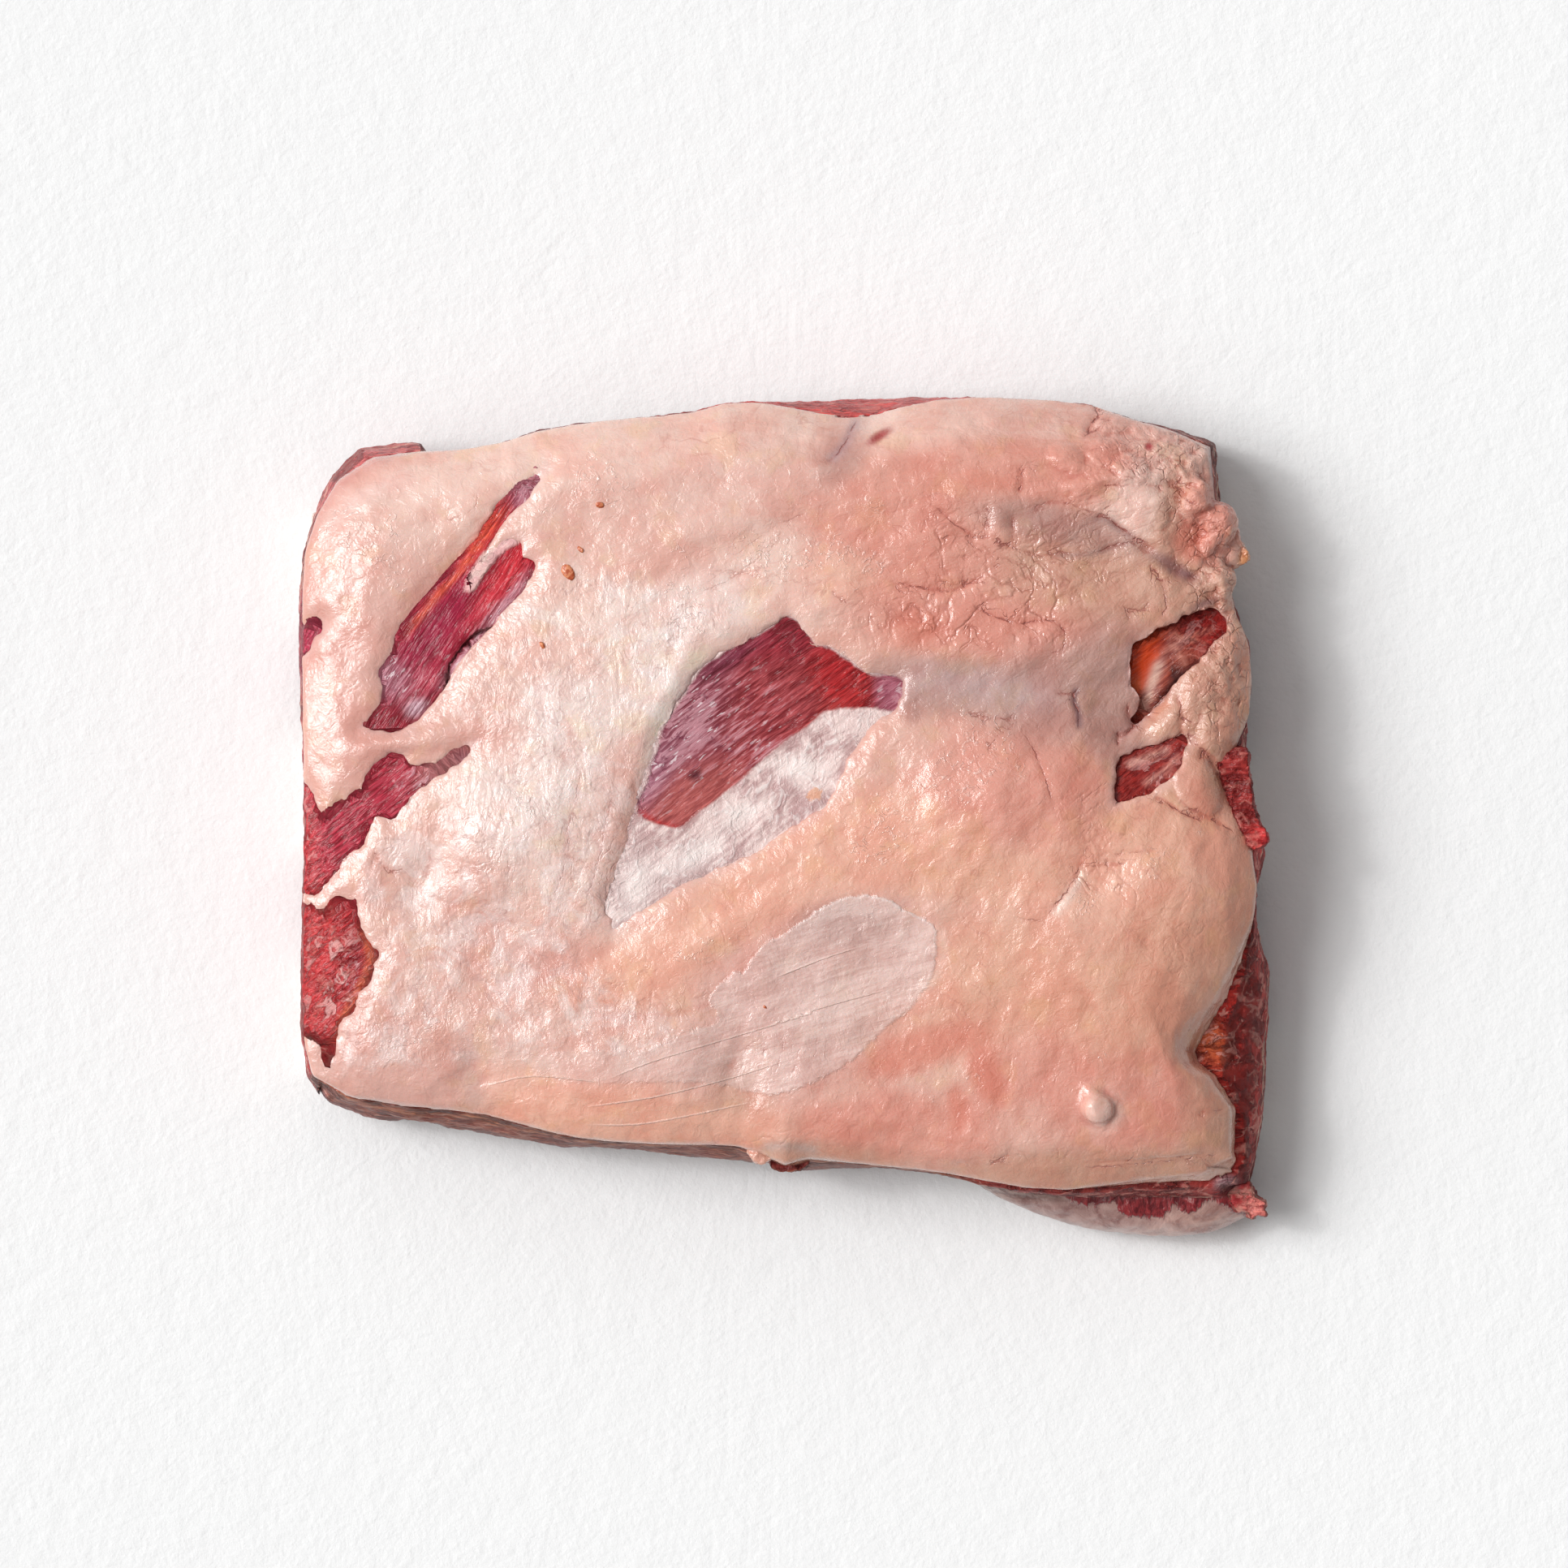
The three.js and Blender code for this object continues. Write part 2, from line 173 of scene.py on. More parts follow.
def ripple(at, size, seed):
    # smooth noise from about -1 to 1, one bump per size mm
    rng = np.random.default_rng(seed)
    total = np.zeros(len(at))
    for octave in range(3):
        lattice = rng.uniform(-1, 1, (97, 89))
        q = at / (size * mm) * 2 ** octave + 500.3
        cell = np.floor(q).astype(int)
        f = q - cell
        f = f * f * (3 - 2 * f)
        i, j = cell[:, 0] % 97, cell[:, 1] % 89
        k, l = (i + 1) % 97, (j + 1) % 89
        low = lattice[i, j] * (1 - f[:, 0]) + lattice[k, j] * f[:, 0]
        high = lattice[i, l] * (1 - f[:, 0]) + lattice[k, l] * f[:, 0]
        total += (low * (1 - f[:, 1]) + high * f[:, 1]) / 2 ** octave
    return total / 1.2


# openings trimmed in the fat, and patches of thin skin on it
openings = {
    "fork": [[-49, 83], [-53.5, 79], [-59.5, 73.5], [-63.5, 66], [-70.5, 56], [-79, 45.5],
             [-80, 42.5], [-80.5, 38.5], [-83.5, 34], [-82.5, 31], [-83, 26.5], [-87, 21.5],
             [-81.5, 20.5], [-77.5, 21], [-73.5, 25], [-69.5, 30.5], [-66.5, 36.5], [-62, 42.5],
             [-58.5, 47.5], [-55, 52.5], [-51.5, 60], [-54, 61.5], [-54.5, 65.5], [-57, 65.5],
             [-60.5, 61], [-65, 55], [-64, 58.5], [-60.7, 63.5], [-56.9, 70.5], [-53, 75.5]],
    "middle": [[1, 48], [6, 41], [11, 39], [17, 34], [24, 33], [24.5, 30], [23.5, 25.5], [18.5, 23],
               [15, 17.5], [12.5, 11.5], [7.5, 1.5], [1, -3], [-9, -10], [-18.5, -14], [-26, -19],
               [-35.5, -26.5], [-37, -20.5], [-34.5, -12.5], [-30.5, 1], [-28, 10], [-25.5, 20],
               [-21, 29], [-18, 34.5], [-14, 38], [-3, 45]],
    "left": [[-81.5, 15], [-78.5, 14.5], [-77, 12], [-72, 12.5], [-66, 16.5], [-63.5, 18],
             [-66, 14], [-70.5, 10.5], [-74.5, 7.5], [-81, 0], [-84, 1], [-87, -5.5],
             [-92.5, -12.5], [-94.5, -15], [-97, -18], [-103, -18], [-103, 8.5], [-98.5, 8],
             [-96.5, 2.5], [-95, -1], [-92, 2.5], [-89, 5], [-86.5, 6.5], [-85.5, 10.5]],
    "lowerLeft": [[-103, -20.5], [-98.5, -20.5], [-95.5, -22.5], [-94, -24], [-92, -20],
                  [-88.5, -21], [-88.5, -24], [-87, -28], [-84, -31.5], [-85.5, -37],
                  [-88.5, -44.5], [-92, -48.5], [-92.5, -54.5], [-94, -58], [-94.5, -53],
                  [-99, -50], [-103, -50]],
    "notch": [[-103, 45.5], [-98.4, 44.8], [-95.5, 46.5], [-95, 44.5], [-97, 41.2], [-98.8, 38.5],
              [-103, 38.5]],
    "pocket": [[71.5, 40], [77, 44], [82, 47.5], [88, 49.5], [91.5, 47.5], [91, 44.5], [88, 41],
               [84.5, 37], [81, 32.5], [78, 29], [75, 24.5], [69, 19.5], [72.5, 25], [73.5, 28.5],
               [71.5, 31], [71, 36]],
    "right": [[69, 14], [73.5, 17], [82.5, 19.5], [83, 17.5], [81.5, 13], [80, 10], [77, 7.5],
              [73.5, 5], [67.5, 2.5], [68, 8.5]],
}

patches = {
    "strip": [[-48.5, 81], [-51.5, 76.2], [-55.1, 71.7], [-58.3, 68.2], [-60.3, 64.6],
              [-63.4, 60.2], [-66, 54.5], [-64.3, 53.9], [-62.2, 57.5], [-59.8, 61], [-57.4, 63.7],
              [-54.3, 66], [-52.8, 72]],
    "muscleInMiddle": [[1, 48], [6, 41], [11, 39], [17, 34], [24, 33], [24.5, 30], [23.5, 25.5],
                       [15.5, 26], [8.5, 25], [-0.5, 17.5], [-10.5, 8], [-16, 3], [-20.5, -1],
                       [-24, -2], [-30.5, 1], [-28, 10], [-25.5, 20], [-21, 29], [-18, 34.5],
                       [-14, 38], [-3, 45]],
    "silver": [[-16, -48], [-14, -42.5], [-8, -35.5], [-5, -31], [-0.5, -28], [7.5, -21],
               [14.5, -18], [21, -19], [24.5, -21.5], [30.5, -25], [31.5, -30], [30.5, -37.5],
               [26, -45], [20.5, -50], [14.5, -57], [9.5, -60.5], [3.5, -63.5], [-4, -65.5],
               [-17.5, -62.5], [-44, -62.5], [-54.5, -57], [-44, -55], [-27.5, -54]],
    "fascia": [[-51, 55], [-34, 59], [-21, 51], [-10.5, 50], [-19, 39.5], [-22.5, 30],
               [-27.5, 16.5], [-31, 1], [-34, -10.5], [-36.5, -21], [-44, -33.5], [-34, -39.5],
               [-22.5, -55], [-44, -55], [-61, -57], [-81, -58.5], [-94.5, -57], [-91, -47],
               [-86, -31.5], [-89.5, -20], [-82.5, -3], [-74.5, 7], [-62.5, 20.5], [-67.5, 28],
               [-57.5, 43.5]],
}


def openingDistance(at):
    # distance in mm to the nearest opening's edge, positive inside it
    return np.max([insideDistance(at, points, 2) for points in openings.values()], 0)


def select(piece):
    bpy.ops.object.select_all(action="DESELECT")
    piece.hide_set(False)
    piece.select_set(True)
    bpy.context.view_layer.objects.active = piece


def copyOfNode(node, name):
    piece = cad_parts[node].copy()
    piece.data = piece.data.copy()
    for key in list(piece.keys()):
        del piece[key]
    piece.parent = None
    piece.name = piece.data.name = name
    piece.data.materials.clear()
    bpy.context.scene.collection.objects.link(piece)
    select(piece)
    bpy.ops.object.mode_set(mode="EDIT")
    bpy.ops.mesh.select_all(action="SELECT")
    bpy.ops.mesh.remove_doubles(threshold=0.01 * mm)
    bpy.ops.object.mode_set(mode="OBJECT")
    return piece


def applyModifier(piece, kind, **settings):
    select(piece)
    modifier = piece.modifiers.new(kind.title(), kind)
    for key, value in settings.items():
        setattr(modifier, key, value)
    bpy.ops.object.modifier_apply(modifier=modifier.name)


def remesh(piece, voxel, smoothing):
    applyModifier(piece, "REMESH", mode="VOXEL", voxel_size=voxel * mm, adaptivity=0)
    if smoothing:
        applyModifier(piece, "SMOOTH", factor=0.5, iterations=smoothing)


def points(piece):
    co = np.empty(len(piece.data.vertices) * 3, np.float32)
    piece.data.vertices.foreach_get("co", co)
    return co.reshape(-1, 3).astype(float)


def normals(piece):
    out = np.empty(len(piece.data.vertices) * 3, np.float32)
    piece.data.vertex_normals.foreach_get("vector", out)
    return out.reshape(-1, 3).astype(float)


def movePoints(piece, co):
    piece.data.vertices.foreach_set("co", co.astype(np.float32).ravel())
    piece.data.update()


def thin(piece, mask, ratio):
    # fewer faces where nobody looks: mask is 1 where they may go
    group = piece.vertex_groups.new(name="thin")
    for weight in (0.02, 1.0):
        chosen = np.nonzero(mask > 0.5 if weight == 1.0 else mask <= 0.5)[0]
        group.add(chosen.tolist(), weight, "REPLACE")
    applyModifier(piece, "DECIMATE", ratio=ratio, vertex_group="thin", vertex_group_factor=1)
    piece.vertex_groups.clear()


def store(piece, name, values):
    attribute = piece.data.attributes.new(name, "FLOAT", "POINT")
    attribute.data.foreach_set("value", np.asarray(values, np.float32))


def storeColour(piece, name, rgb):
    attribute = piece.data.attributes.new(name, "FLOAT_COLOR", "POINT")
    rgba = np.ones((len(rgb), 4), np.float32)
    rgba[:, :3] = rgb
    attribute.data.foreach_set("color", rgba.ravel())


def finishPiece(piece, material, slotName, *nodes):
    select(piece)
    bpy.ops.object.shade_smooth()
    piece.data.materials.clear()
    piece.data.materials.append(material)
    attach(piece, "root")
    if nodes:
        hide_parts(*nodes)
    print(piece.name, "has", sum(len(p.vertices) - 2 for p in piece.data.polygons), "triangles")
    return piece


def hollows(piece, rounds=6):
    # how far each point lies below (+) or above (-) what surrounds it, in mm
    pairs = np.empty(len(piece.data.edges) * 2, np.int32)
    piece.data.edges.foreach_get("vertices", pairs)
    a, b = pairs[0::2], pairs[1::2]
    co = points(piece)
    count = (np.bincount(a, minlength=len(co)) + np.bincount(b, minlength=len(co)))[:, None]
    soft = co.copy()
    for _ in range(rounds):
        sums = [np.bincount(a, soft[b, k], len(co)) + np.bincount(b, soft[a, k], len(co)) for k in range(3)]
        soft = np.stack(sums, 1) / count
    return ((soft - co) * normals(piece)).sum(1) / mm


def strokes(at, lines):
    # relief in mm of a set of grooves, the nearest one's signed distance in mm, and its strength
    relief = np.zeros(len(at))
    nearest = np.full(len(at), 12.0)
    strength = np.zeros(len(at))
    for line, width, depth in lines:
        distance, share = strokeDistance(at, line)
        there = fadeEnds(share)
        relief -= depth * there * np.exp(-(distance / width) ** 2)
        nearest = np.where(np.abs(distance) < np.abs(nearest), distance, nearest)
        strength = np.maximum(strength, np.exp(-(distance / 2.2) ** 2) * there * min(1, 2 * depth))
    return relief, nearest, strength


def withBranches(lines, chance=0.6):
    # short side creases that leave the drawn ones
    random = np.random.default_rng(5)
    grown = list(lines)
    for line, width, depth in lines:
        corners = np.array(line, float)
        for a, b in zip(corners, corners[1:]):
            if random.random() > chance:
                continue
            start = a + (b - a) * random.uniform(0.2, 0.8)
            ahead = math.atan2(*(b - a)[::-1]) + random.choice([-1, 1]) * random.uniform(0.5, 1.3)
            way = np.array([math.cos(ahead), math.sin(ahead)])
            long = random.uniform(2.0, 4.5)
            branch = [start - 0.5 * way, start + 0.5 * long * way + random.normal(0, 0.4, 2),
                      start + long * way + random.normal(0, 0.6, 2)]
            grown.append((branch, 0.75 * width, 0.6 * depth))
    return grown


def domes(at, lumps):
    # rounded lumps that meet in sharp creases
    height = np.zeros(len(at))
    for tall, *place in lumps:
        height = np.maximum(height, tall * np.sqrt(np.clip(1 - ellipse(at, *place), 0, 1)))
    return height


def paint(base, at, spots, bands=()):
    # soft spots of colour, where the nearest and strongest count most, then bands along lines
    weight = np.full(len(at), 0.05)
    colour = np.tile(np.array(base, float) * 0.05, (len(at), 1))
    for rgb, strength, *place in spots:
        share = strength * blob(at, *place)
        weight += share
        colour += share[:, None] * np.array(rgb)
    colour /= weight[:, None]
    for rgb, strength, width, line in bands:
        distance, share = strokeDistance(at, line, reach=3 * width)
        amount = (strength * fadeEnds(share) * np.exp(-(distance / width) ** 2))[:, None]
        colour = colour * (1 - amount) + amount * np.array(rgb)
    return colour


# small tools for materials
def addNode(tree, kind, inputs=None, **settings):
    node = tree.nodes.new("ShaderNode" + kind)
    for key, value in settings.items():
        setattr(node, key, value)
    for key, value in (inputs or {}).items():
        if isinstance(value, bpy.types.NodeSocket):
            tree.links.new(value, node.inputs[key])
        else:
            node.inputs[key].default_value = value
    return node


def newTree(name):
    material = bpy.data.materials.new(name)
    material.use_nodes = True
    material.node_tree.nodes.clear()
    return material, material.node_tree


def value(tree, name):
    return addNode(tree, "Attribute", attribute_name=name).outputs["Fac"]


def colourOf(tree, name):
    return addNode(tree, "Attribute", attribute_name=name).outputs["Color"]


def vectorOf(tree, name):
    return addNode(tree, "Attribute", attribute_name=name).outputs["Vector"]


def calc(tree, operation, a, b=0.0, clamp=False):
    return addNode(tree, "Math", {0: a, 1: b}, operation=operation, use_clamp=clamp).outputs[0]


def times(tree, *factors):
    # masks and numbers multiplied
    out = factors[0]
    for factor in factors[1:]:
        out = calc(tree, "MULTIPLY", out, factor)
    return out


def ramp(tree, source, low, high, fromValue=0.0, toValue=1.0):
    return addNode(tree, "MapRange", {"Value": source, "From Min": low, "From Max": high,
                                      "To Min": fromValue, "To Max": toValue},
                   interpolation_type="SMOOTHSTEP").outputs["Result"]


def blendColour(tree, share, a, b, how="MIX"):
    mix = addNode(tree, "Mix", data_type="RGBA", blend_type=how)
    for index, source in ((0, share), (6, a), (7, b)):
        if isinstance(source, bpy.types.NodeSocket):
            tree.links.new(source, mix.inputs[index])
        elif isinstance(source, (int, float)):
            mix.inputs[index].default_value = source
        else:
            mix.inputs[index].default_value = (*source, 1)
    return mix.outputs[2]


finestGrain = 0.2  # mm, the smallest octave of noise that is worth its time


def speckle(tree, vector, size, detail=3.0, roughness=0.55, distortion=0.0, stretch=None):
    # noise with one bump per size mm, centred on 0.5; stretch makes it longer along some axes
    detail = min(detail, max(0.0, math.log2(size / finestGrain)))
    if stretch:
        vector = addNode(tree, "Mapping", {"Vector": vector, "Scale": [1 / s for s in stretch]}).outputs[0]
    return addNode(tree, "TexNoise", {"Vector": vector, "Scale": 1000 / size, "Detail": detail,
                                      "Roughness": roughness, "Distortion": distortion}).outputs["Fac"]


def ridge(tree, source, width, middle=0.5):
    # thin lines where a noise passes its middle value
    return ramp(tree, calc(tree, "ABSOLUTE", calc(tree, "SUBTRACT", source, middle)), 0.0, width, 1.0, 0.0)


def line(tree, name, wobble, width, soft):
    # a thin line along the strokes stored on the piece
    side = calc(tree, "ABSOLUTE", calc(tree, "ADD", value(tree, name + "Side"), wobble))
    return times(tree, ramp(tree, side, width, width + soft, 1.0, 0.0), value(tree, name + "On"))


def total(tree, *terms):
    # adds up (source, amount) pairs
    out = None
    for source, amount in terms:
        term = calc(tree, "MULTIPLY", source, amount)
        out = term if out is None else calc(tree, "ADD", out, term)
    return out


def around(tree, source, amount):
    # a noise turned into a shift to both sides of nothing
    return calc(tree, "MULTIPLY", calc(tree, "SUBTRACT", source, 0.5), amount)


def unevenly(tree, name, noise, amount):
    # a stored distance, taken a little further out or in by a noise
    return calc(tree, "ADD", value(tree, name), around(tree, noise, amount))


def bent(tree, vector, amount, size=4.0):
    # places shifted by a noise, amount in mm
    noise = addNode(tree, "TexNoise", {"Vector": vector, "Scale": 1000 / size,
                                       "Detail": 3.0}).outputs["Color"]
    shift = addNode(tree, "VectorMath", {0: noise, "Scale": amount * 2 * mm}, operation="SCALE").outputs[0]
    return addNode(tree, "VectorMath", {0: vector, 1: shift}, operation="ADD").outputs[0]


def moistFlesh(tree, colour, rough, height, **own):
    bump = addNode(tree, "Bump", {"Height": height, "Distance": 1.0, "Strength": 1.0})
    inputs = {"Base Color": colour, "Roughness": rough, "Normal": bump.outputs[0],
              "Coat Normal": bump.outputs[0]}
    inputs.update(own)
    shader = addNode(tree, "BsdfPrincipled", inputs)
    tree.links.new(shader.outputs[0], addNode(tree, "OutputMaterial").inputs[0])


def objectPlace(tree):
    return addNode(tree, "TexCoord").outputs["Object"]


fatLook = {"vessels": 0.35, "glints": 0.16, "relief": 0.33, "grain": 0.08, "crinkle": 0.4, "creases": 0.4}


def fatMaterial():
    material, tree = newTree("moistFat")
    at = objectPlace(tree)
    fan = vectorOf(tree, "fan")  # x runs along the streaks
    hollow, granular = value(tree, "hollow"), value(tree, "granular")
    broad = speckle(tree, at, 17, 3, 0.5, 0.5)
    medium = speckle(tree, at, 7, 4, 0.6)
    lobules = speckle(tree, at, 3.2, 5, 0.6, 0.9)
    fine = speckle(tree, at, 1.0, 3, 0.6)
    streaks = speckle(tree, fan, 2.4, 4, 0.6, 0.5, (6, 1, 1))
    tint = colourOf(tree, "tint")
    deep = blendColour(tree, 1.0, tint, (0.97, 0.87, 0.85), "MULTIPLY")
    pale = blendColour(tree, 1.0, tint, (1.02, 1.09, 1.1), "MULTIPLY")
    yellow = blendColour(tree, 1.0, tint, (1.0, 1.02, 0.86), "MULTIPLY")
    red = blendColour(tree, 1.0, tint, (0.76, 0.46, 0.42), "MULTIPLY")
    mixed = total(tree, (broad, 0.5), (streaks, 0.25), (medium, 0.25))
    colour = blendColour(tree, ramp(tree, mixed, 0.4, 0.6), deep, pale)
    colour = blendColour(tree, ramp(tree, speckle(tree, at, 10, 3), 0.54, 0.68, 0.0, 0.6), colour, yellow)

    # hair-fine vessels in some places
    thread = ridge(tree, speckle(tree, at, 13, 4, 0.5, 0.8), 0.02)
    here = ramp(tree, speckle(tree, at, 30, 2), 0.5, 0.66, 0.0, fatLook["vessels"])
    colour = blendColour(tree, times(tree, thread, here), colour, (0.5, 0.17, 0.13))

    # pale wrinkled skin over the fat
    skin = ramp(tree, unevenly(tree, "fasciaEdge", medium, 14), -3.0, 4.0)
    crinkle = speckle(tree, at, 4.0, 8, 0.6, 1.5, (1, 1.9, 1))
    film = ramp(tree, speckle(tree, at, 12, 5, 0.6, 0.8), 0.44, 0.64, 0.0, 0.45)
    colour = blendColour(tree, times(tree, skin, film), colour, (0.93, 0.81, 0.78))
    patchy = ramp(tree, speckle(tree, at, 9, 3), 0.46, 0.58)
    wrinkles = times(tree, ridge(tree, crinkle, 0.06), skin, patchy)
    colour = blendColour(tree, times(tree, wrinkles, 0.3), colour, (0.62, 0.38, 0.34))
    threads = ridge(tree, speckle(tree, bent(tree, at, 1.2, 4), 8.5, 3, 0.5, 1.0, (1, 1.7, 1)), 0.03)
    threads = times(tree, threads, skin, ramp(tree, medium, 0.44, 0.56))
    colour = blendColour(tree, times(tree, threads, 0.45), colour, (0.54, 0.3, 0.27))

    # satin sheet of silverskin with fine straight strands
    turned = addNode(tree, "Mapping", {"Vector": at, "Rotation": (0, 0, math.radians(-17))}).outputs[0]
    strands = speckle(tree, turned, 0.8, 4, 0.6, 0.3, (11, 1, 1))
    weave = speckle(tree, turned, 0.9, 3, 0.6, 0.0, (1, 7, 1))
    wisps = speckle(tree, turned, 6, 4, 0.6, 0.4, (3, 1, 1))
    silver = ramp(tree, unevenly(tree, "silverEdge", lobules, 3), -0.5, 0.8)
    silver = times(tree, silver, value(tree, "silverOn"))
    satin = total(tree, (strands, 0.28), (weave, 0.12), (wisps, 0.6))
    satinColour = blendColour(tree, ramp(tree, satin, 0.4, 0.6), (0.62, 0.42, 0.38), (0.86, 0.68, 0.63))
    colour = blendColour(tree, times(tree, silver, 0.6), colour, satinColour)
    silverRim = ridge(tree, unevenly(tree, "silverEdge", lobules, 3), 0.7, 0.4)
    silverRim = times(tree, value(tree, "silverRim"), silverRim)
    colour = blendColour(tree, times(tree, silverRim, 0.6), colour, (0.93, 0.8, 0.76))

    # thin see-through edge where the fat ends over muscle, and right at the edge a darker red line that is
    # a painted contact shadow
    edge = unevenly(tree, "rimEdge", medium, 3)
    colour = blendColour(tree, ramp(tree, edge, -2.6, 0.4, 0.0, 0.3), colour, (0.74, 0.46, 0.45))
    colour = blendColour(tree, ramp(tree, edge, 0.0, 1.0, 0.0, 0.3), colour, (0.55, 0.2, 0.2))

    # hollows are painted redder and darker as painted shade, and raised places paler as painted light
    colour = blendColour(tree, ramp(tree, hollow, 0.04, 0.36, 0.0, 0.6), colour, red)
    raised = times(tree, hollow, -1.0)
    colour = blendColour(tree, ramp(tree, raised, 0.05, 0.35, 0.0, 0.25), colour, pale)

    # creases: the ones cut into the shape, and a finer branching web where the fat is puckered; the dark
    # line in them and the redder halo round them are partly the fat's own reddish-brown and partly painted
    # shade
    wobble = around(tree, speckle(tree, at, 2.2, 4), 2.0)
    broken = ramp(tree, speckle(tree, at, 3.4, 3), 0.4, 0.58, 0.0, 1.0)
    crease = times(tree, line(tree, "crease", wobble, 0.03, 0.28), broken)
    halo = line(tree, "crease", wobble, 0.1, 1.5)
    puckers = value(tree, "puckers")
    wide = speckle(tree, bent(tree, at, 1.4, 7), 15, 3, 0.5, 0.5)
    small = speckle(tree, bent(tree, at, 1.0, 5), 7.5, 3, 0.5, 0.5)
    web = calc(tree, "MAXIMUM", ridge(tree, wide, 0.016), times(tree, ridge(tree, small, 0.026), patchy))
    valley = calc(tree, "MAXIMUM", ridge(tree, wide, 0.05), times(tree, ridge(tree, small, 0.06), patchy))
    fade = ramp(tree, speckle(tree, at, 5, 3), 0.4, 0.6)
    web = times(tree, web, fade, puckers, fatLook["creases"])
    valley = times(tree, valley, puckers)
    colour = blendColour(tree, times(tree, calc(tree, "MAXIMUM", halo, valley), 0.3), colour, red)
    colour = blendColour(tree, calc(tree, "MAXIMUM", crease, web), colour, (0.36, 0.1, 0.08))
    scores = line(tree, "score", around(tree, fine, 0.4), 0.05, 0.3)
    colour = blendColour(tree, times(tree, scores, 0.3), colour, (0.9, 0.66, 0.58))

    # coarse granular fat, its grains parted by redder gaps
    grains = addNode(tree, "TexVoronoi", {"Vector": bent(tree, at, 1.6), "Scale": 300.0},
                     feature="DISTANCE_TO_EDGE").outputs["Distance"]
    gaps = times(tree, ramp(tree, grains, 0.0, 0.12, 1.0, 0.0), fade)
    colour = blendColour(tree, times(tree, gaps, granular, 0.6), colour, red)
    grit = speckle(tree, at, 1.7, 4, 0.66, 0.4)
    colour = blendColour(tree, times(tree, ramp(tree, grit, 0.44, 0.34, 0.0, 0.6), granular), colour, red)
    colour = blendColour(tree, times(tree, ramp(tree, grit, 0.56, 0.68, 0.0, 0.6), granular), colour, pale)

    # tiny wet folds in loose groups, each catching the light; they are also painted near white as a painted
    # highlight
    curls = ridge(tree, speckle(tree, bent(tree, at, 0.8, 3), 3.6, 2, 0.4, 1.2), 0.06)
    curls = times(tree, curls, ramp(tree, speckle(tree, at, 3.0, 2), 0.46, 0.56))
    groups = total(tree, (speckle(tree, at, 12, 4, 0.6), 1.0),
                   (calc(tree, "SUBTRACT", value(tree, "wet"), 0.5), 0.3))
    curls = times(tree, curls, ramp(tree, groups, 0.5, 0.62))
    colour = blendColour(tree, times(tree, curls, fatLook["glints"]), colour, (1.0, 0.93, 0.88))
    rough = total(tree, (medium, 0.3), (fine, 0.2), (silver, 0.06), (granular, 0.25), (curls, -0.1))
    height = total(tree, (lobules, fatLook["relief"] * mm), (streaks, 0.6 * fatLook["relief"] * mm),
                   (fine, fatLook["grain"] * mm), (times(tree, skin, crinkle), fatLook["crinkle"] * mm),
                   (times(tree, silver, satin), 0.3 * mm), (silver, 0.07 * mm), (crease, -0.25 * mm),
                   (valley, -0.22 * mm), (web, -0.14 * mm), (scores, 0.12 * mm), (curls, 0.12 * mm),
                   (times(tree, gaps, granular), -0.4 * mm), (times(tree, grit, granular), 0.5 * mm))
    moistFlesh(tree, colour, rough, height, **{
        "Subsurface Weight": 0.14, "Subsurface Radius": (1.0, 0.42, 0.28), "Subsurface Scale": 0.004,
        "Specular IOR Level": 0.5, "Coat Weight": 0.6, "Coat Roughness": 0.16})
    return material


meatLook = {"marbling": 0.7, "grainHeight": 0.5, "veil": 0.7}


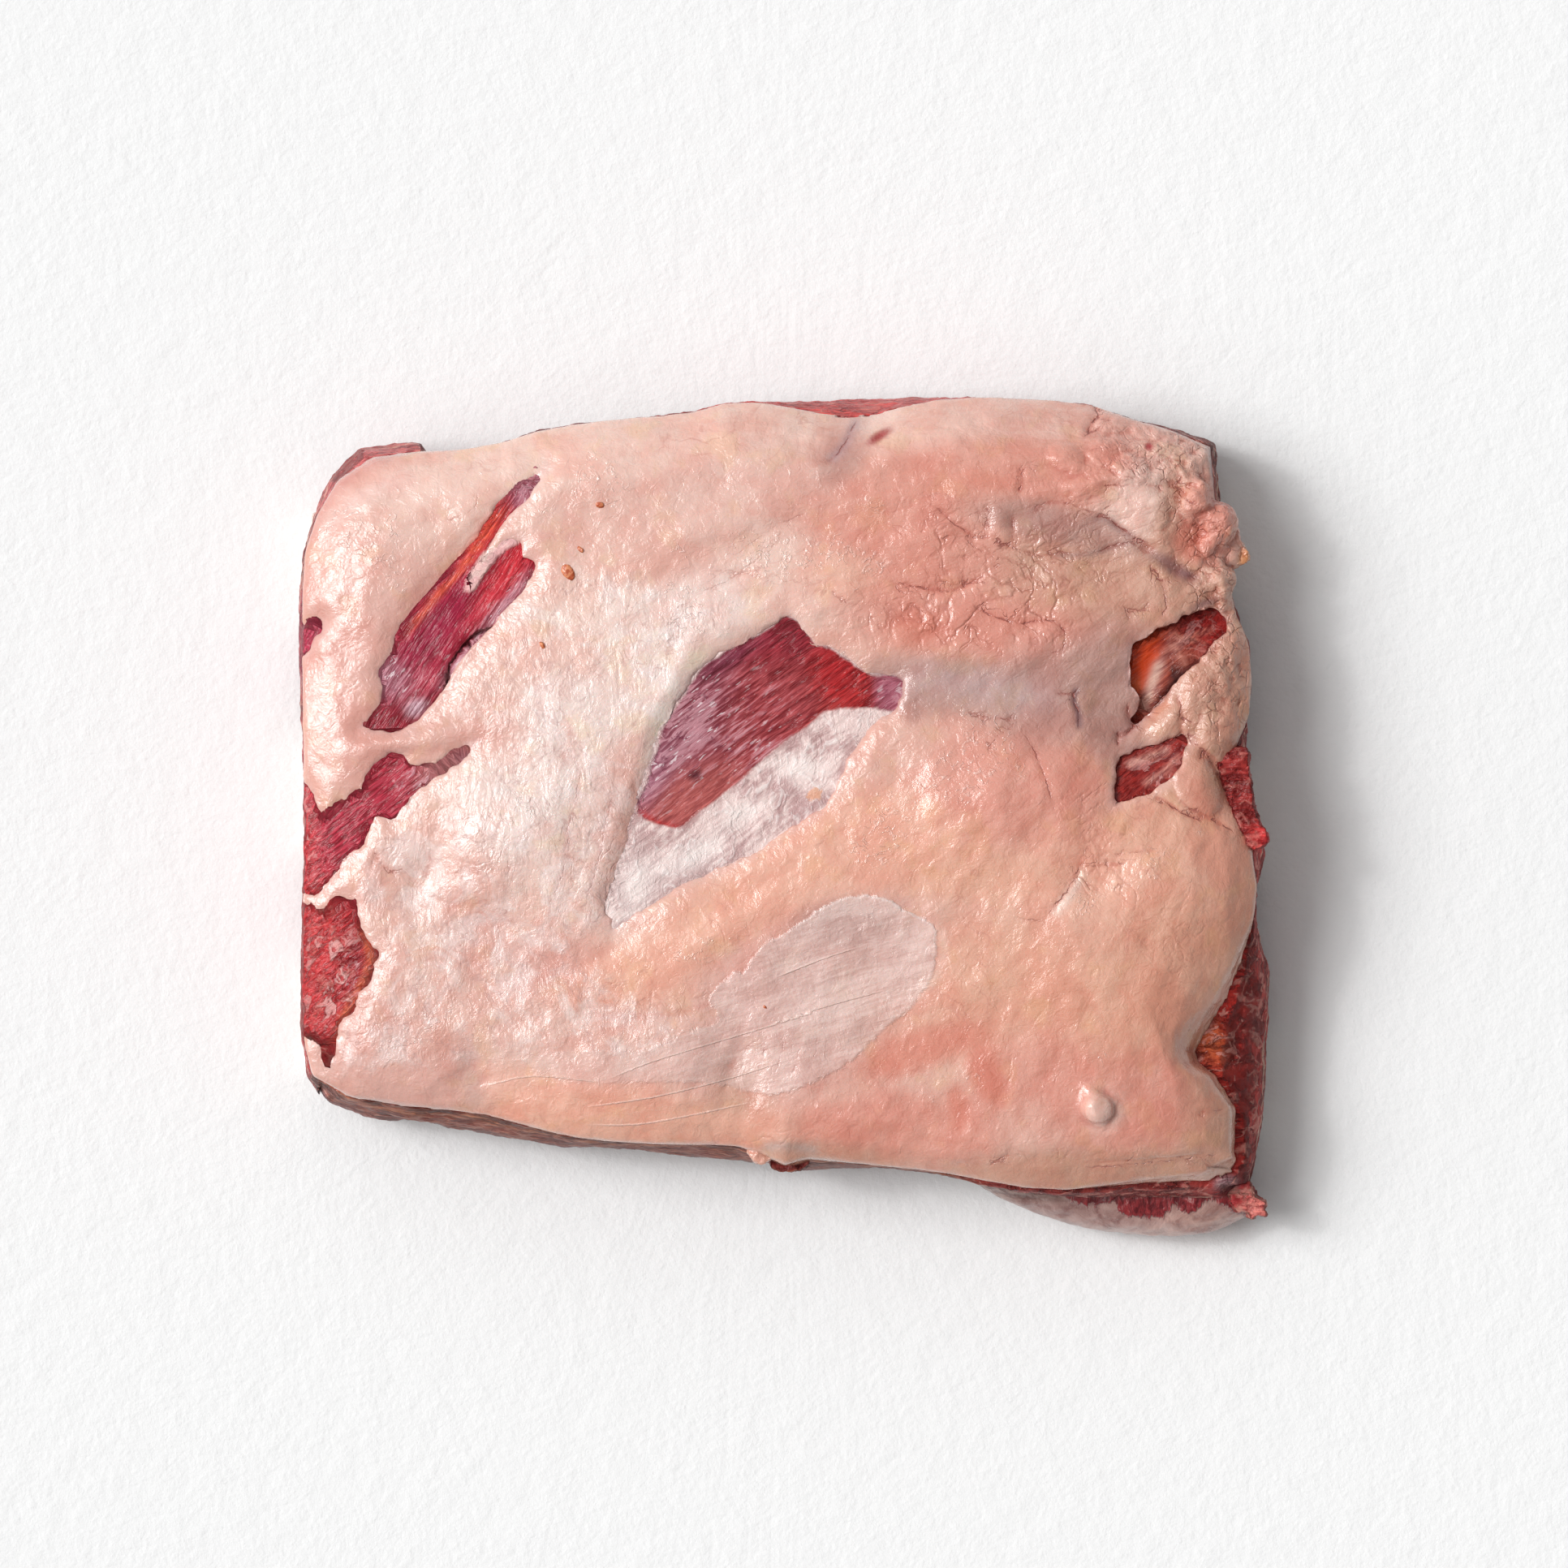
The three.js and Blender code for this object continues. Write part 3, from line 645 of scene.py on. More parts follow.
def meatMaterial():
    material, tree = newTree("rawMeat")
    at = objectPlace(tree)
    grain = vectorOf(tree, "grain")  # x runs along the fibres
    hollow, cut, veil = value(tree, "hollow"), value(tree, "cut"), value(tree, "veil")
    fibres = speckle(tree, grain, 0.8, 4, 0.62, 0.0, (9, 1, 1.6))
    bundles = speckle(tree, grain, 2.3, 5, 0.62, 0.3, (7, 1, 1.4))
    medium = speckle(tree, at, 6, 4, 0.6)
    small = speckle(tree, at, 2.4, 4, 0.6, 0.6)
    fine = speckle(tree, at, 1.1, 3, 0.6)
    tint = colourOf(tree, "tint")
    dark = blendColour(tree, 1.0, tint, (0.5, 0.26, 0.3), "MULTIPLY")
    bright = blendColour(tree, 1.0, tint, (1.6, 1.7, 1.6), "MULTIPLY")
    colour = blendColour(tree, ramp(tree, total(tree, (bundles, 0.5), (fibres, 0.5)), 0.4, 0.56),
                         dark, tint)
    colour = blendColour(tree, ramp(tree, fibres, 0.54, 0.68, 0.0, 0.5), colour, bright)
    sleek = value(tree, "sleek")
    colour = blendColour(tree, sleek, colour, tint)

    # bluish veil of thin membrane, in streaks along the fibres
    streak = total(tree, (bundles, 0.5), (fibres, 0.5), (calc(tree, "SUBTRACT", veil, 0.5), 0.2))
    streak = times(tree, ramp(tree, streak, 0.5, 0.63, 0.0, meatLook["veil"]), ramp(tree, veil, 0.05, 0.3))
    colour = blendColour(tree, streak, colour, (0.58, 0.29, 0.33))
    # the white flecks in the veiled places are painted glints
    flecks = ramp(tree, speckle(tree, grain, 1.2, 3, 0.6, 0.2, (3.5, 1, 1)), 0.6, 0.68)
    colour = blendColour(tree, times(tree, flecks, veil, 0.9), colour, (0.88, 0.74, 0.76))
    pits = ramp(tree, speckle(tree, grain, 1.7, 5, 0.7, 0.2, (1.8, 1, 1)), 0.43, 0.37)
    colour = blendColour(tree, times(tree, pits, veil, 0.75), colour, (0.17, 0.02, 0.05))

    # cut faces: ragged bundles with pale threads between them, and the gaps between the bundles painted
    # dark as painted shade
    paintedGapShade = blendColour(tree, 1.0, tint, (0.3, 0.2, 0.22), "MULTIPLY")
    ragged = bent(tree, at, 1.6, 4)
    bundle = speckle(tree, ragged, 4.4, 4, 0.6, 0.8, (1.8, 1, 1))
    parted = times(tree, ramp(tree, bundle, 0.47, 0.4), cut)
    threads = ridge(tree, speckle(tree, ragged, 7.5, 2, 0.5, 0.6, (2, 1, 1)), 0.05)
    threads = times(tree, threads, ramp(tree, speckle(tree, at, 5, 3), 0.42, 0.54))
    chips = ramp(tree, speckle(tree, ragged, 3.2, 3, 0.6, 0.6, (2.2, 1, 1)), 0.61, 0.67)
    threads = times(tree, calc(tree, "MAXIMUM", threads, chips), cut)
    colour = blendColour(tree, times(tree, ramp(tree, bundle, 0.5, 0.64, 0.0, 0.6), cut), colour, bright)
    colour = blendColour(tree, times(tree, parted, 0.6), colour, paintedGapShade)
    colour = blendColour(tree, times(tree, threads, meatLook["marbling"]), colour, (0.72, 0.29, 0.24))

    # pale marbling in the windows at the sawn end
    veins = speckle(tree, bent(tree, grain, 1.6, 5), 4.4, 4, 0.6, 0.8, (2, 1, 1))
    veins = times(tree, ramp(tree, veins, 0.55, 0.61), value(tree, "marbled"))
    colour = blendColour(tree, times(tree, veins, 0.7), colour, (0.84, 0.48, 0.45))

    # thin grey sheets along the front
    layered = value(tree, "layered")
    sheets = speckle(tree, at, 1.3, 4, 0.6, 0.5, (9, 9, 1))
    colour = blendColour(tree, times(tree, ramp(tree, sheets, 0.5, 0.42, 0.0, 0.75), layered), colour,
                         (0.09, 0.04, 0.04))
    colour = blendColour(tree, times(tree, ramp(tree, sheets, 0.56, 0.66, 0.0, 0.5), layered), colour,
                         (0.52, 0.32, 0.28))

    # seams of fat between the muscles, level along the walls
    seamWave = around(tree, speckle(tree, at, 30, 3), 16)
    seam = ridge(tree, calc(tree, "ADD", value(tree, "seamAt"), seamWave), 1.0, 0.0)
    colour = blendColour(tree, times(tree, seam, cut, 0.8), colour, (0.72, 0.46, 0.36))

    # a strip of fat left standing between the two parts of the long opening
    strip = ramp(tree, unevenly(tree, "stripEdge", small, 2), -0.9, 0.5)
    stripColour = blendColour(tree, ramp(tree, medium, 0.4, 0.6), (0.84, 0.46, 0.45), (0.9, 0.62, 0.56))
    colour = blendColour(tree, strip, colour, stripColour)

    # silverskin in the middle opening
    sheet = ramp(tree, unevenly(tree, "sheetEdge", medium, 3), -0.5, 0.8)
    clouds = total(tree, (speckle(tree, at, 11, 4, 0.6, 0.6), 0.6),
                   (speckle(tree, grain, 1.8, 5, 0.65, 0.3, (5, 1, 1)), 0.4))
    crinkle = speckle(tree, at, 2.8, 7, 0.6, 1.2, (1, 1.6, 1))
    sheetColour = blendColour(tree, ramp(tree, clouds, 0.42, 0.57), (0.52, 0.32, 0.31), (0.81, 0.62, 0.585))
    sheetColour = blendColour(tree, value(tree, "sheen"), sheetColour, (0.95, 0.84, 0.8))
    # the paler crests of the crinkles are a painted highlight
    sheetColour = blendColour(tree, ramp(tree, crinkle, 0.54, 0.66, 0.0, 0.5), sheetColour,
                              (0.94, 0.84, 0.81))
    fleck = unevenly(tree, "orangeFleck", small, 1.6)
    fleck = ramp(tree, fleck, 0.5, 0.7, 0.0, 0.8)
    sheetColour = blendColour(tree, fleck, sheetColour, (0.72, 0.34, 0.2))
    colour = blendColour(tree, sheet, colour, sheetColour)
    # hollows are painted darker, except on the strip: painted shade
    paintedHollowShade = times(tree, ramp(tree, hollow, 0.06, 0.4, 0.0, 0.5), calc(tree, "SUBTRACT", 1.0, strip))
    colour = blendColour(tree, paintedHollowShade, colour,
                         blendColour(tree, 1.0, colour, (0.45, 0.28, 0.28), "MULTIPLY"))
    rough = total(tree, (medium, 0.3), (fine, 0.2), (cut, 0.3), (layered, 0.3), (strip, 0.1), (sheet, 0.05))
    smooth = calc(tree, "SUBTRACT", 1.0, calc(tree, "MAXIMUM", sheet, sleek))
    height = total(tree, (times(tree, fibres, smooth), meatLook["grainHeight"] * mm), (bundles, 0.45 * mm),
                   (fine, 0.12 * mm), (threads, 0.2 * mm), (parted, -0.5 * mm),
                   (times(tree, small, cut), 0.8 * mm), (times(tree, sheets, layered), 0.9 * mm),
                   (veins, 0.3 * mm), (strip, 0.4 * mm), (times(tree, crinkle, sheet), 0.7 * mm))
    moistFlesh(tree, colour, rough, height, **{
        "Subsurface Weight": 0.05, "Subsurface Radius": (1.0, 0.25, 0.2), "Subsurface Scale": 0.003,
        "Specular IOR Level": 0.12, "Coat Weight": 0.3, "Coat Roughness": 0.13})
    return material


def boneMaterial():
    material, tree = newTree("rawBone")
    at = objectPlace(tree)
    long = speckle(tree, at, 1.6, 4, 0.6, 0.2, (14, 1, 1))
    medium = speckle(tree, at, 8, 4, 0.6)
    colour = blendColour(tree, ramp(tree, medium, 0.38, 0.66), (0.66, 0.42, 0.37), (0.84, 0.68, 0.6))
    colour = blendColour(tree, ramp(tree, long, 0.45, 0.7, 0.0, 0.6), colour, (0.88, 0.77, 0.71))
    # sawn end: a pale rim round a spongy red middle
    sponge = addNode(tree, "TexVoronoi", {"Vector": at, "Scale": 620.0},
                     feature="DISTANCE_TO_EDGE").outputs["Distance"]
    marrow = blendColour(tree, ramp(tree, sponge, 0.03, 0.16, 1.0, 0.0), (0.36, 0.05, 0.04),
                         (0.74, 0.42, 0.34))
    core = unevenly(tree, "coreEdge", speckle(tree, at, 3, 3), 1.6)
    core = ramp(tree, core, -0.3, 0.5)
    sawn = blendColour(tree, core, (0.87, 0.76, 0.66), marrow)
    colour = blendColour(tree, value(tree, "sawn"), colour, sawn)
    rough = total(tree, (medium, 0.4), (long, 0.3), (value(tree, "sawn"), 0.1))
    pits = times(tree, core, value(tree, "sawn"), sponge)
    height = total(tree, (long, 0.35 * mm), (medium, 0.5 * mm), (pits, -1.2 * mm))
    moistFlesh(tree, colour, rough, height, **{
        "Subsurface Weight": 0.08, "Subsurface Radius": (1.0, 0.5, 0.4), "Subsurface Scale": 0.002,
        "Coat Weight": 0.2, "Coat Roughness": 0.25})
    return material


# the fat cap
cap = {
    "voxel": 1.0,
    "rimDrop": 0.8,
    "rimReach": 6.0,
    "lumps": 0.85,
    "smallLumps": 0.35,
    "streakRelief": 0.4,
    "granules": 1.2,
    "notchCreep": 2.2,
    "frontTrim": 1.4,
    "keptUnderneath": 0.62,
    "fanCentre": (114, 92),
    "drawnBack": [[-22, 0], [-35, 1.3], [-43, 2.2], [-47, 3.4], [-51, 5.2], [-55, 6.4], [-58, 5.8],
                  [-61, 2.6], [-69, 1], [-75, 1.5], [-79, 2.3], [-84, 1]],
}

# where fine creases branch over the fat, and where it lies in small wet folds
puckered = [
    (1.0, 52, 58, 22, 20, 0),
    (0.7, 30, 66, 12, 10, 0),
    (0.8, 24, 47, 16, 6, 0),
    (0.9, 72, 84, 14, 12, 0),
    (0.6, 40, 46, 24, 8, 0),
    (0.5, 62, 2, 8, 22, 0),
    (0.6, 68, -14, 14, 8, 0),
    (0.45, 82, -30, 14, 18, 0),
    (0.5, -60, -10, 12, 14, 0),
    (0.45, -38, -8, 10, 18, 0),
    (0.4, -26, -44, 18, 5, 10),
    (0.4, -5, -76, 20, 4, 0),
    (0.4, 60, -79, 30, 3, 3),
    (0.3, -88, -50, 8, 10, 0),
]
wetFolds = [
    (1.0, -84, 64, 12, 14, 0),
    (1.0, -40, 78, 14, 7, 10),
    (0.9, -20, 48, 14, 8, 20),
    (0.8, 4, 62, 22, 12, 0),
    (0.8, 10, 34, 6, 10, 0),
    (1.0, 40, 14, 14, 14, 0),
    (1.0, 22, 2, 8, 12, 0),
    (0.5, 60, -18, 10, 10, 0),
    (0.8, 18, -6, 16, 8, 20),
    (0.8, -14, -30, 16, 6, 20),
    (0.4, 30, -66, 20, 8, 0),
    (0.8, -52, 2, 14, 12, 0),
    (0.8, -76, -48, 16, 10, 0),
    (0.3, 78, -12, 10, 14, 0),
]

# fine creases: points, width and depth in mm
creases = [
    ([[30.5, 74], [35, 69.5], [38.5, 66.5], [38, 62]], 0.62, 0.36),
    ([[41.5, 74], [42, 71], [41, 67.5]], 0.54, 0.27),
    ([[47, 72.5], [47, 66.5], [46, 64.5], [43, 65.5], [40.5, 67.5]], 0.68, 0.42),
    ([[51, 69.5], [52, 73.5], [55, 74.5], [59, 74], [62, 72.5], [65.5, 72]], 0.68, 0.3),
    ([[62.5, 71], [66, 71], [69, 68.5], [72.5, 66], [76, 64.5]], 0.82, 0.5),
    ([[43.5, 64.5], [48, 63.5], [53, 61.8], [57, 62.6], [61, 61.6]], 0.88, 0.3),
    ([[64, 62.6], [68, 64.5], [73.5, 65.5]], 0.88, 0.42),
    ([[73.5, 63], [66, 60.5], [58, 60], [48, 60.5]], 1.09, 0.16),
    ([[21.5, 56], [27.5, 54.5], [33.5, 53.5], [37.5, 55], [41.5, 57.5], [44, 59.5]], 0.68, 0.42),
    ([[37.5, 51], [43.5, 47.5], [48, 46], [53.5, 46.5], [57, 45.5], [58, 41]], 0.68, 0.42),
    ([[21.5, 49], [16.5, 50], [12, 51], [8.5, 55]], 0.62, 0.21),
    ([[60.5, 31], [59.5, 28], [60.5, 24.5], [60.5, 21]], 0.75, 0.63),
    ([[62, 90], [63, 92.5], [64.5, 95], [64, 98]], 0.95, 0.78),
    ([[48, 76], [49, 80], [48.5, 82.5], [49.5, 83]], 0.62, 0.42),
    ([[73, 78.5], [69, 78.5], [65.5, 78.5]], 0.68, 0.32),
    ([[48, 22.5], [43.5, 19], [41.5, 15.5]], 0.75, 0.27),
    ([[37.5, 25.5], [39, 24], [43.5, 23.5], [48, 23]], 0.75, 0.32),
    ([[55.5, 1], [55, 4], [53, 11.5], [51, 16.5], [49, 21]], 0.82, 0.32),
    ([[69, 49.5], [73.5, 49], [75.5, 48.5]], 0.62, 0.32),
    ([[78.5, 79.5], [80, 78.5], [82, 77], [82.5, 75]], 0.82, 0.78),
    ([[69, 85], [70.5, 83.5], [72, 81.5], [73.5, 81]], 0.68, 0.36),
    ([[74.5, 60.5], [76.5, 58], [78, 54.5], [78.5, 49]], 0.75, 0.48),
    ([[68, 21], [69, 19.5], [71.5, 21], [73, 24], [75, 26], [77, 27.5], [79, 30.5]], 0.82, 1.15),
    ([[81, 29], [81.5, 24.5], [81.5, 22], [82, 19.5], [85, 19.8]], 0.75, 0.69),
    ([[85, 17], [87, 15], [88.5, 12], [90, 8.5], [92, 3.5], [93.5, 2]], 0.88, 0.89),
    ([[86, -1], [83, 0.5], [81, 1.5], [78, 4], [75, 4.5]], 0.82, 0.58),
    ([[61.5, -8], [61, -10.5], [58.5, -16.5], [55, -21.5], [53.5, -24.5]], 1.0, 0.4),
    ([[77, -8], [72, -8], [66.5, -9], [62, -9.5]], 0.82, 0.25),
    ([[70.5, -10.8], [65.5, -11.3], [61.5, -11.3]], 0.68, 0.32),
    ([[93, -4], [86.5, 0.5], [82, 2.5]], 0.75, 0.42),
    ([[85.5, -71], [87, -69]], 0.68, 0.42),
    ([[60, -83], [76, -81.5], [84, -80.5], [92, -79.5]], 0.62, 0.32),
    ([[42, -82], [44.5, -80.5], [47, -80]], 0.68, 0.32),
    ([[-84.5, -7], [-83.5, -10.5], [-79.5, -14]], 0.68, 0.32),
    ([[-57, -17.5], [-57, -13], [-57, -8.5], [-59.5, -5], [-63, -6], [-66, -3.5], [-66.5, 1]], 0.75, 0.14),
    ([[-5, -49.5], [-4.2, -55], [-6, -61]], 0.8, 0.13),
    ([[-1, -48.5], [-0.4, -54], [-2, -60]], 0.8, 0.13),
    ([[3, -49.5], [2.8, -56], [1, -61.5]], 0.8, 0.13),
    ([[6.8, -51], [6.2, -56], [4.6, -60]], 0.7, 0.1),
    ([[-41.5, 15], [-43, 5], [-44.5, -1], [-45, -8.5], [-46, -14], [-49, -21.5]], 0.68, 0.15),
    ([[-35, 8], [-37, -1], [-38, -7.5], [-39.5, -14], [-41.5, -22.5]], 0.68, 0.15),
    ([[-32, -5], [-33, -9], [-36.5, -13], [-37, -22.5]], 0.68, 0.2),
    ([[-70, 70.5], [-66, 71.5], [-63, 74]], 0.62, 0.21),
    ([[1, 67.5], [-6, 61], [-14, 54.5], [-24, 52.5]], 1.22, 0.15),
    ([[-0.5, 54.5], [-7.5, 57.5], [-16, 58.5]], 1.09, 0.15),
    ([[6, 72.5], [-2.5, 68.5], [-11, 61]], 1.22, 0.15),
    ([[16, 95], [14, 92], [12.4, 88], [8.7, 83.5]], 0.62, 0.36),
]

# fine straight cuts in the silverskin
scores = [
    ([[-37, -62], [-27.5, -57.5], [-13, -52.5], [6, -46]], 0.5, 0.15),
    ([[-42, -68.5], [-27.5, -66], [-13, -62], [1, -57]], 0.5, 0.15),
    ([[-42, -72.5], [-31, -72.5], [-20.5, -70.5], [-6, -67]], 0.5, 0.12),
    ([[-62, -63.5], [-52, -61], [-37.5, -62.5]], 0.5, 0.12),
    ([[-2.5, -38], [8.5, -33], [15.5, -30.5]], 0.5, 0.15),
    ([[-2.5, -48.5], [8.5, -44.5], [21.5, -40.5]], 0.5, 0.15),
]

# soft swellings and hollows: height in mm, place, reach in mm, turn in degrees
swells = [
    (1.8, 44, 5, 15, 14, 0),
    (0.9, 31, 4, 7, 11, 0),
    (1.2, 56, 6, 7, 14, 10),
    (1.2, -56, -5, 14, 14, 0),
    (-1.1, -73, -10, 4, 13, -15),
    (-0.9, -62, -24, 12, 4, -15),
    (1.1, 80, -14, 13, 11, 0),
    (0.9, 62, -26, 9, 7, 30),
    (-0.9, -64, -60, 5, 10, 0),
    (-0.5, -8, -62, 5, 10, 0),
    (-1.7, 65.6, -68.6, 3.2, 3.2, 0),
    (-0.7, 19.6, 90.2, 2.6, 1.2, 32),
    (0.8, -35, -58, 18, 8, 10),
    (1.0, -20, 66, 20, 6, 25),
    (0.9, 52, 68, 5, 4, 0),
    (0.9, 44, 70, 3, 6, 0),
    (-1.1, 50, 31, 24, 7, 0),
    (1.0, 62, 52, 10, 5, -15),
    (-1.0, 66, 30, 6, 10, 0),
    (-1.6, 80, 59, 7, 3.5, -30),
    (-1.0, 84, 65, 5, 5, 0),
    (-1.2, 74.5, 63.6, 2.6, 1.8, -20),
    (0.7, 30, 66, 12, 5, 10),
    (1.0, 18, 88, 8, 4, 20),
    (0.4, -77, 62, 12, 7, 60),
    (0.9, -78, 18, 18, 3, 8),
    (0.7, -22, 33, 4, 14, -18),
    (0.8, -12, -26, 24, 4, 32),
]

# lumps that part in sharp creases: height in mm, place, reach in mm, turn in degrees
lumps = [
    (1.8, 85.5, 73, 7.0, 4.9, -56),
    (1.6, 90.4, 71, 2.4, 6.2, 8),
    (1.6, 82, 86.5, 4.2, 3.0, 20),
    (1.5, 86, 83.5, 5.2, 4.0, -60),
    (1.6, 83.3, 80.5, 3.2, 2.6, 0),
    (1.4, 86.8, 79, 3.4, 2.8, -30),
    (1.3, 79, 87.5, 4.6, 3.4, 20),
    (1.4, 87.5, 65, 3.4, 3.0, 40),
    (1.8, 89.6, 57.5, 3.2, 3.8, 0),
    (1.6, 91.2, 52, 2.6, 4.0, 0),
    (1.2, 86.5, 55.5, 3.0, 2.6, 0),
    (0.5, 73, 71.5, 4.4, 9.5, -12),
    (0.7, 76.6, 65.8, 3.4, 2.6, 0),
    (0.7, 77.5, 73, 3.4, 6.0, -10),
    (1.2, 71, 83, 6.0, 3.6, -20),
    (1.1, 76, 92, 7.0, 3.0, -8),
    (1.0, 66, 87, 6.0, 4.2, 15),
    (0.9, 58, 85, 5.6, 3.6, -30),
    (1.0, 68, 94, 6.4, 3.0, 0),
    (1.2, 82.5, 91.5, 5.0, 2.6, -20),
    (0.9, 61, 78, 6.0, 3.0, 10),
    (1.5, 92, 42, 4.2, 8.0, 0),
    (1.2, 87.5, 31, 8.6, 9.6, 25),
    (1.5, 89.5, 20, 6.5, 7.0, 0),
    (0.9, 78, 23, 4.6, 7.0, -38),
    (1.6, 85.2, 8, 9.0, 7.0, -60),
    (0.4, 66.4, -69.6, 4.6, 4.8, 0),
    (0.36, 62.6, -66.2, 4.2, 3.4, 20),
    (0.2, 63.8, -61, 1.6, 4.6, -6),
]

# tones of the fat, and where each lies: strength, place, reach in mm, turn in degrees
fatBase = (0.74, 0.42, 0.34)
fatTones = [
    # cream, along the back edge and on the crests
    ((0.83, 0.54, 0.46), [
        (1, -72, 79, 22, 9, 15), (1.2, -38, 88, 34, 7, 8), (1, 12, 93, 24, 5, -8), (1, 0, 58, 13, 8, -10),
        (1, -44, 47, 13, 14), (1, -46, -18, 13, 11), (1.2, 73, 76, 6, 9, -15), (4, 65.5, -68.6, 4, 4),
    ]),
    # ivory, on the pale boss and where the skin is thin over white fat
    ((0.87, 0.66, 0.6), [
        (2, -17, 50, 9, 6, 20), (1, -42, 20, 14, 13), (1, -33, 40, 12, 10), (1.2, -54, 0, 12, 11),
        (1.2, -24, 28, 4, 12, -20),
    ]),
    # blush, over most of the left half
    ((0.76, 0.45, 0.38), [
        (1, -86, 72, 14, 10, 20), (1, -14, 78, 24, 12, 12), (1, -50, 62, 7, 14, -30),
        (1, -63, 31, 9, 10, -40), (1, -31, 9, 10, 12), (1, -73, -9, 13, 11, -20), (1, -78, -36, 14, 10),
        (1.2, -53, -50, 12, 5), (1, -36, -56, 13, 6, 15), (1, 62, 93, 26, 5, -5), (1.4, -85, 59, 8, 8),
    ]),
    # deeper pink, towards the left end and under the lower silverskin
    ((0.71, 0.37, 0.31), [
        (1.3, -94, 52, 10, 20), (1, -81, 46, 14, 14), (1.2, -89, 26, 10, 16, 10), (1.4, -78, 19, 18, 4, 8),
        (1.6, -89, -15, 6, 6), (1, -88, -50, 12, 12), (1, -77, -62, 18, 6, -8), (1, -54, -32, 16, 9, -20),
        (1, -1, -38, 14, 8, 25), (1, -4, -55, 16, 9, 10), (1.2, 25, -32, 7, 10, 20),
    ]),
    # peach, in the warm band from the front left up to the bulge
    ((0.81, 0.41, 0.3), [
        (1, -45, -68, 20, 6, -5), (1.1, -24, -73, 24, 5, -2), (1.2, -34, -38, 13, 6, 20),
        (1.3, -17, -26, 16, 5, 32), (1.2, 0, -14, 20, 6, 30), (1.3, 22, -6, 18, 8, 8), (1, 10, 58, 10, 5),
        (1, 63, -11, 14, 10), (1, 88, -11, 8, 12),
    ]),
    # apricot, over the bulge and the front right
    ((0.74, 0.36, 0.25), [
        (1, 76, -3, 12, 6), (1, 80, -28, 14, 13), (1, 46, -40, 20, 13), (1, 68, -46, 16, 11),
        (1.3, 40, -13, 18, 5, -5),
    ]),
    # rose, at the back right and where the front right is flushed
    ((0.71, 0.29, 0.22), [
        (1, 18, 70, 16, 9), (1, 36, 82, 20, 7), (1.3, 29, 60, 15, 8), (1, 41, 44, 18, 7),
        (1, 44, 6, 13, 12), (1, 58, 6, 7, 13, 10), (1, 53, -57, 11, 8), (1.2, 71, -66, 14, 10),
        (1, 22, -73, 20, 6), (1, 62, 84, 9, 7), (1.5, 86, 72, 6, 6, -50),
    ]),
    # mauve, where dark muscle shows through thin skin
    ((0.48, 0.25, 0.21), [
        (1.8, 33, 32, 14, 5), (1.8, 55, 29, 12, 10), (1.8, 67, 31, 7, 12), (1.6, 13, -25, 9, 4, 5),
        (1.4, 56, 69, 14, 3.5, -14), (3, 26.4, 28.5, 1.8, 3.6), (1.6, 12.4, 88, 4.5, 9, -28),
    ]),
    # tan, on the dried right end and along the front edge
    ((0.62, 0.32, 0.23), [
        (1.3, 79, 72, 3.5, 9, -10), (1, 61, 56, 16, 8, -10), (1.4, 80, 55, 5, 8, 25),
        (1.6, 86, 52, 8, 4, 10), (1.3, 89, 30, 9, 18), (1.2, 95, 20, 3.5, 22), (1.6, 83, 30, 4, 5, -40),
        (1.4, 79, 21, 5, 6, 20), (1.3, 86, 9, 6, 7), (1.2, 94, -24, 3.5, 14), (1, 88, -68, 7, 14),
        (1, 86, -52, 7, 5, 20), (1.3, 68, -83, 26, 3.5, 2), (1.2, 8, -79.5, 14, 2.5, -3),
        (1, -9, -63, 6, 8),
    ]),
    # blood in the fat
    ((0.68, 0.23, 0.16), [
        (2.6, 41, 80, 6, 1.8, -10), (1.6, 28, 45, 6, 4), (1.8, 42, -60, 3, 6, 20),
        (1.4, 36, -70, 2, 4.5, 10), (1.6, 31, -53, 13, 3.5, 20),
        (1.8, 85, 6, 3, 6, 30), (2.2, 83, 65.5, 3.6, 4),
    ]),
    # shade at the bottom of the deep creases at the right end
    ((0.22, 0.09, 0.1), [
        (3, 80, 59, 5, 1.6, -33), (4, 82.6, 57.6, 1.8, 0.7, -15),
        (4, 86.6, 50.8, 3, 0.8, 20), (5, 90, 85, 1.6, 7, 4),
    ]),
    # an orange fleck, and two drops of blood
    ((0.7, 0.28, 0.12), [(7, 95.6, 61, 1.3, 1.9)]),
    ((0.36, 0.02, 0.03), [(9, 19.6, 90.2, 2.4, 0.8, 32), (9, 75.1, 87.8, 0.7, 0.7)]),
]
fatSpots = [(tone, *place) for tone, places in fatTones for place in places]

